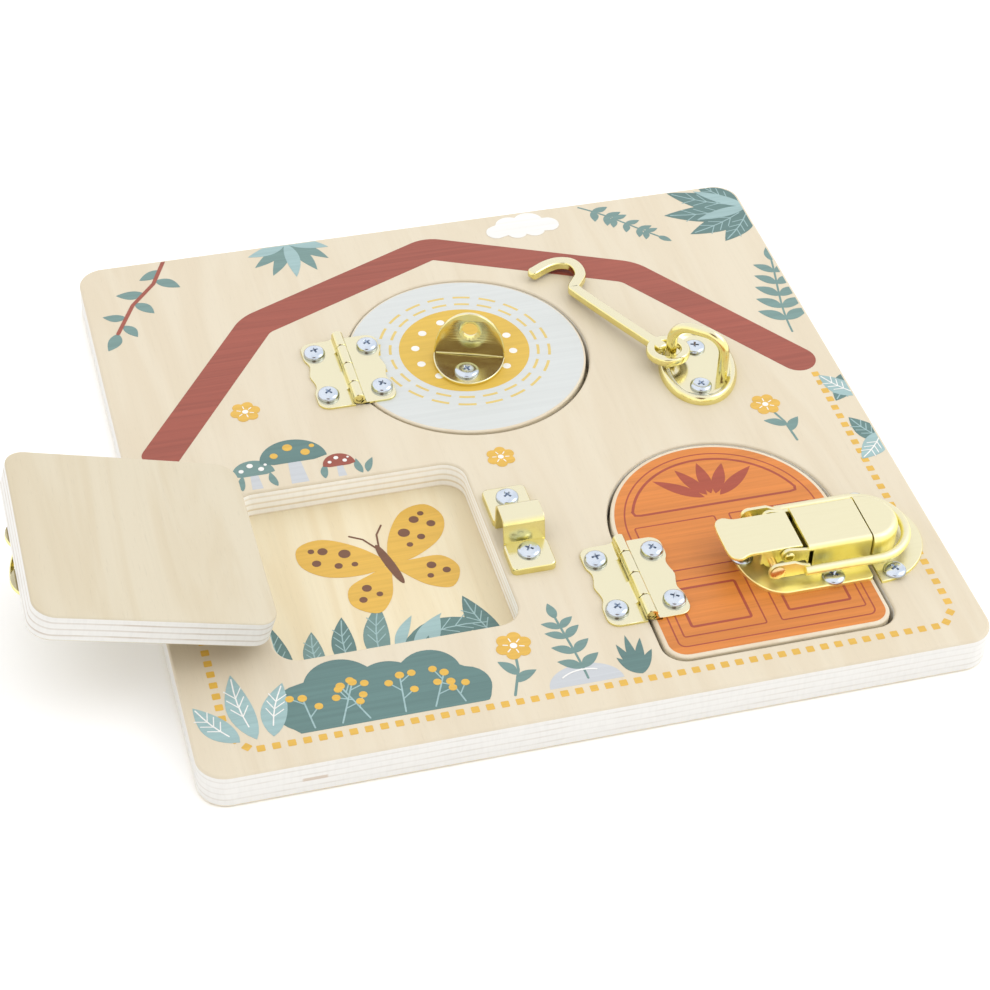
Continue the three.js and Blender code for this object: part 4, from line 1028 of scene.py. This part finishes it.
def veined(x, y, angle, length, width, tone="deep_teal", vein="pale_teal", bend=0.05):
    """A broad leaf with a middle vein and side veins."""

    def middle(t):
        return t * length, bend * math.sin(math.pi * t) * length

    add(tone, leaf(x, y, angle, length, width, bend))
    line = [middle(t) for t in (0.2, 0.38, 0.56, 0.74, 0.93)]
    add(vein, strip(turned_points(line, x, y, angle), 0.5))
    for t in (0.36, 0.5, 0.64):
        at = middle(t)
        for side in (-1, 1):
            tip = (at[0] + 0.14 * length, at[1] + side * 0.33 * width)
            add(vein, strip(turned_points([at, tip], x, y, angle), 0.4))


def bloom(x, y, radius, turn, stem=None):
    """A six-petal flower with a pale middle, and a leafed stem if it has a foot."""
    if stem:
        add("teal", strip([stem, ((x + stem[0]) / 2 + 1.5, (y + stem[1]) / 2), (x, y)], 1.0))
        for side, share in ((-1, 0.25), (1, 0.4)):
            at = (stem[0] + (x - stem[0]) * share + 1, stem[1] + (y - stem[1]) * share)
            add("teal", leaf(*at, direction(stem, (x, y)) + side * 48, 9.5, 4.2, -side * 0.08))
    petals = [(x, y, radius * 0.55)]
    for a in range(turn, turn + 360, 60):
        petals.append((*polar(x, y, radius * 0.62, a), radius * 0.38))
    add("mustard", around(petals, x, y))
    add("white", circle(x, y, radius * 0.2, 16))
    for a in range(turn + 30, turn + 390, 60):
        add("white", strip([polar(x, y, radius * share, a) for share in (0.32, 0.55)], radius * 0.07))


def toadstool(x, y, wide, high, stem_high, cap_tone, dot_tone):
    gill = y + stem_high
    stem = [(-0.13, y), (0.13, y), (0.09, gill), (-0.09, gill)]
    add("stone", [(x + share * wide, level) for share, level in stem])
    brim = [(x + share * wide, gill - 0.13 * high) for share in (-0.3, 0.3)]
    add(cap_tone, arc(x, gill, wide / 2, 0, 180, 28, high) + brim)
    for a, b, r in ((-0.27, 0.3, 0.06), (-0.04, 0.62, 0.075), (0.2, 0.28, 0.07), (0.32, 0.55, 0.04)):
        add(dot_tone, circle(x + a * wide, gill + b * high, r * wide, 16))


def berries(x, y, angle, length, count, size=1.7):
    """A thin stem with side twigs that end in round berries."""
    tip = turned_points([(length, 0)], x, y, angle)[0]
    add("pale_teal", strip([(x, y), tip], 0.6))
    add("mustard", circle(*tip, size, 18))
    for k in range(count):
        reach = (0.35 + 0.45 * k / max(count - 1, 1)) * length
        side = 1 if k % 2 else -1
        twig = turned_points([(reach, 0), (reach + 4.2, side * 4.4)], x, y, angle)
        add("pale_teal", strip(twig, 0.5))
        add("mustard", circle(*twig[1], size * 0.92, 18))


# Left of the roof
add("rust", strip([(-112, 149.5), (-119, 134), (-130, 121), (-139, 103)], 1.7))
for x, y, angle, size in (
    (-115, 143, 210, 11), (-118, 136, -35, 12), (-124, 128, 175, 12), (-129, 122, -50, 11),
    (-134, 113, 165, 10), (-136, 108, -62, 10), (-139, 103, -118, 12),
):
    add("teal", leaf(x, y, angle, size, size * 0.48, 0.05))
for angle, length in ((200, 19), (222, 22), (246, 24), (270, 25), (294, 24), (318, 22), (340, 19)):
    add("pale_teal" if length % 2 else "teal", leaf(-58, 150, angle, length, 6.2, 0.04))
# Right of the roof
lobes = [(-12, -1, 4.6), (-5, 2.4, 6.4), (4, 3.4, 6.8), (12, 0, 5), (-3, -2.6, 4.6), (5, -2.4, 4.8)]
add("white", around([(47 + a, 138 + b, r) for a, b, r in lobes], 47, 138))
add("teal", *sprig(76, 147, -36, 40, 6, 8.5, 4, -0.16, 55))
for angle, length, wide in ((128, 30, 11), (152, 38, 13), (178, 40, 13), (204, 36, 12), (230, 30, 11)):
    veined(152, 131, angle, length, wide)
for angle in (141, 191):
    add("pale_teal", leaf(151, 131, angle, 26, 6))
add("teal", *sprig(139, 40, 88, 50, 5, 14, 6.2, -0.14, 58))
# Right edge, between the border and the rim
for y, angle, tone, vein in (
    (9, 236, "deep_teal", "pale_teal"), (-6, 128, "pale_teal", "white"), (-30, 225, "pale_teal", "white"),
    (-36, 120, "deep_teal", "pale_teal"),
):
    veined(151.5, y, angle, 20, 9.5, tone, vein)
# Between the openings
bloom(-97, 41, 6.2, 8)
bloom(-3.5, -9.5, 6.0, 22)
bloom(111, -3, 6.4, 0, (116, -27))
toadstool(-84, -6, 27, 12, 14, "deep_teal", "mustard")
toadstool(-101, -6, 17, 8, 9, "teal", "white")
toadstool(-67, -6, 13, 6.5, 7, "rust", "white")
for x, angle in ((-109, 112), (-107, 80), (-93, 100), (-74, 78), (-59, 96), (-57, 66)):
    add("teal", leaf(x, -6, angle, 9, 3, 0.06))
# Bottom edge
for x, angle, length in ((-121, 72, 26), (-127, 96, 33), (-133, 124, 24)):
    veined(x, -135, angle, length, 9.5, "pale_teal", "white")
lobes = [(-107, -124, 11.5), (-93, -117, 13.5), (-76, -121, 12.5), (-60, -118, 11.5), (-49, -127, 9.5)]
lobes += [(x, -130, 9.5) for x in (-104, -90, -76, -62, -50)]
add("deep_teal", clipped(around(lobes, -78, -126, 120), rounded_box(-120, -136, -38, -96, 6)))
for x, angle, length, count in (
    (-106, 96, 15, 2), (-96, 68, 20, 3), (-86, 112, 19, 3), (-73, 84, 18, 3), (-62, 66, 17, 2),
    (-51, 105, 11, 2),
):
    berries(x, -134.5, angle, length, count)
bloom(-27, -112, 7.0, 14, (-33, -136))
add("stone", arc(-6, -136.5, 14, 0, 180, 28, 10))
add("white", strip(arc(-6, -136.5, 10.5, 60, 140, 12, 7), 0.6))
add("teal", *sprig(-5, -134, 92, 32, 4, 10.5, 4.6, 0.06, 55))
for angle, length in ((58, 13), (76, 18), (92, 20), (108, 17), (126, 12)):
    add("deep_teal", leaf(15, -136.5, angle, length, 3.6, 0.03))
print_motifs("board", 0.0, "printed_birch")


# Under the square door: a butterfly over leaves
def on_butterfly(points):
    return turned_points(points, -58, -47, 14)


wing = closed_curve([(1, 1), (6, 13), (17, 24), (28, 24), (31, 14), (24, 4), (10, -1)])
tail_wing = closed_curve([(1, -1), (10, -2), (20, -5), (23, -14), (16, -22), (8, -17), (3, -8)])
spots = [(13, 13, 2.4), (20, 18, 2.0), (25, 13, 1.8), (18, 8, 1.6), (12, 6, 1.3), (24, 20, 1.3)]
spots += [(14, -8, 1.9), (18, -13, 1.6), (11, -13, 1.3)]
for side in (1, -1):
    for shape in (wing, tail_wing):
        add("mustard", on_butterfly(shape if side > 0 else mirrored(shape)))
    for x, y, r in spots:
        add("brown", circle(*on_butterfly([(side * x, y)])[0], r, 20))
    add("brown", strip(on_butterfly([(side * 0.5, 10), (side * 3, 17), (side * 7, 21)]), 0.7))
add("brown", on_butterfly(arc(0, 0, 1.9, 0, 345, 23, 12)))
for x, angle, length, wide, tone in (
    (-107, 96, 30, 9.5, "deep_teal"), (-96, 88, 23, 8, "teal"), (-84.5, 86, 28, 9, "deep_teal"),
    (-73, 80, 32, 10, "teal"), (-26, 108, 30, 10, "deep_teal"),
):
    veined(x, -99, angle, length, wide, tone)
veined(-66, -95, 12, 40, 12, bend=0.12)
for x, angle, length in ((-66, 62, 20), (-60, 48, 22), (-52, 70, 17)):
    add("pale_teal", leaf(x, -94, angle, length, 4.6, 0.05))
print_motifs("square_floor", -PLY, "birch_panel")

# Under the round door: a sun
add("mustard", circle(*ROUND_HOLE, 15, 48))
for a in range(0, 360, 30):
    add("mustard", strip([polar(*ROUND_HOLE, reach, a) for reach in (19, 28)], 3.2))
for a in range(0, 360, 45):
    add("white", circle(*polar(*ROUND_HOLE, 9, a), 1.5, 16))
print_motifs("round_floor", -PLY, "birch_panel")

# Under the arched door: a plant in a pot
add("rust", [(60, -120), (83, -120), (88, -97), (55, -97)])
add("rust", rounded_box(52, -98, 91, -91, 1.5, 4))
for angle, length in ((58, 44), (90, 54), (122, 44)):
    add("teal", *sprig(71.5, -92, angle, length, 5, 14, 6.5, 0.0, 50))
bloom(71.5, -34, 7, 0)
print_motifs("arched_floor", -PLY, "birch_panel")

# Round door
SUN = (-0.35, 59.5)
ON_ROUND = ("round_door", PROUD, "pale_blue_birch")
print_layer("round_door_print", [offset(round_door, 0.9)], PALE_BLUE, 0, *ON_ROUND)
print_layer("round_door_disc", [circle(*SUN, 27.4)], YOLK, 1, *ON_ROUND)
dashes = []
for radius, long in ((31.05, 6.4), (35.75, 7.4)):
    reach = 90 * long / radius / math.pi
    for a in [360 * (k + 0.3) / 20 for k in range(20)]:
        dashes.append(strip(arc(*SUN, radius, a - reach, a + reach, 6), 1.2, "flat"))
print_layer("round_door_dashes", dashes, DASH, 1, *ON_ROUND)
dots = [circle(*polar(*SUN, 20.5, a), 1.75, 20) for a in range(15, 360, 30)]
print_layer("round_door_dots", dots, WHITE, 2, *ON_ROUND)

# Arched door: a panelled door with a fan of leaves
ON_ARCH = ("arched_door", PROUD, "orange_birch")
print_layer("arched_door_print", [offset(arch_door, 1.6)], ORANGE, 0, *ON_ARCH)
lines = [ring_line(offset(arch_door, 5.6), 0.6)]
ARCH_MIDDLE = 71.2
fan = arc(ARCH_MIDDLE, -65.4, 35.6, 20.2, 159.8, 40)
corner = [(3.6, -56.0), (1.2, -55.5), (0.7, -53.4)]
fan += [(36.85 + inset, y) for inset, y in reversed(corner)]
fan += [(105.55 - inset, y) for inset, y in corner]
lines.append(ring_line(fan, 1.1))
for a, length in ((38, 22), (64, 18.5), (90, 18.5), (116, 18.5), (142, 22)):
    lines.append(leaf(*polar(ARCH_MIDDLE, -54, 4, a), a, length, 5.2))
for left, right in ((35.5, 68), (74, 107.5)):
    lines.append(ring_line(rounded_box(left, -88.5, right, -62.5, 0.8, 3), 0.6))
    lines.append(ring_line(rounded_box(left, -123, right, -94, 0.8, 3), 0.6))
    lines.append(ring_line(rounded_box(left + 4.5, -118.5, right - 4.5, -98.5, 0.8, 3), 1.1))
print_layer("arched_door_lines", lines, MAROON, 1, *ON_ARCH)

# Floor, light and camera
floor_mesh = bpy.data.meshes.new("floor")
floor_mesh.from_pydata([(-6, -6, 0), (6, -6, 0), (6, 6, 0), (-6, 6, 0)], [], [(0, 1, 2, 3)])
floor = linked("floor", floor_mesh)
floor.location = (0, 0, -0.0001)
paper = Paint("white_paper")
shade = paper.ramp(paper.noise((3.0, 3.0, 3.0), 2.0), [(0.3, rgb(252, 252, 252)), (0.7, rgb(255, 255, 255))])
paper.set(Base_Color=shade, Roughness=0.85)
floor_mesh.materials.append(paper.material)

# The studio is white all round, with a dark brown patch behind the camera for the metal to mirror
CAMERA_SIDE = Vector((-0.2161, -0.7104, 0.6698)).normalized()
world = bpy.data.worlds.new("studio")
bpy.context.scene.world = world
world.use_nodes = True
studio = world.node_tree
background = studio.nodes["Background"]
background.inputs["Strength"].default_value = LIGHT
coords = studio.nodes.new("ShaderNodeTexCoord")
facing = studio.nodes.new("ShaderNodeVectorMath")
facing.operation = "DOT_PRODUCT"
facing.inputs[1].default_value = CAMERA_SIDE
patch = studio.nodes.new("ShaderNodeValToRGB")
white, brown = patch.color_ramp.elements
white.position = 0.95
white.color = (1, 1, 1, 1)
brown.position = 0.98
brown.color = (0.15, 0.075, 0.045, 1)
studio.links.new(coords.outputs["Generated"], facing.inputs[0])
studio.links.new(facing.outputs["Value"], patch.inputs["Fac"])
studio.links.new(patch.outputs["Color"], background.inputs["Color"])

key = bpy.data.lights.new("key", "AREA")
key.shape = "RECTANGLE"
key.size, key.size_y = 1.2, 1.2
key.energy = 7
lamp = linked("key", key)
lamp.location = (1.3, -0.3, 1.2)
lamp.rotation_mode = "QUATERNION"
lamp.rotation_quaternion = (-lamp.location).to_track_quat("-Z", "Y")

bpy.context.scene.view_settings.view_transform = "Standard"

lens = bpy.data.cameras.new("camera")
lens.lens = 88.65
lens.sensor_width = 36
camera = linked("camera", lens)
right = Vector((0.9639, -0.2645, 0.0304)).normalized()
forward = Vector((0.2161, 0.7104, -0.6698)).normalized()
up = right.cross(forward).normalized()
turn = Matrix((right, up, -forward)).transposed().to_4x4()
camera.matrix_world = Matrix.Translation((-0.2181, -0.7092, 0.6553)) @ turn
bpy.context.scene.camera = camera
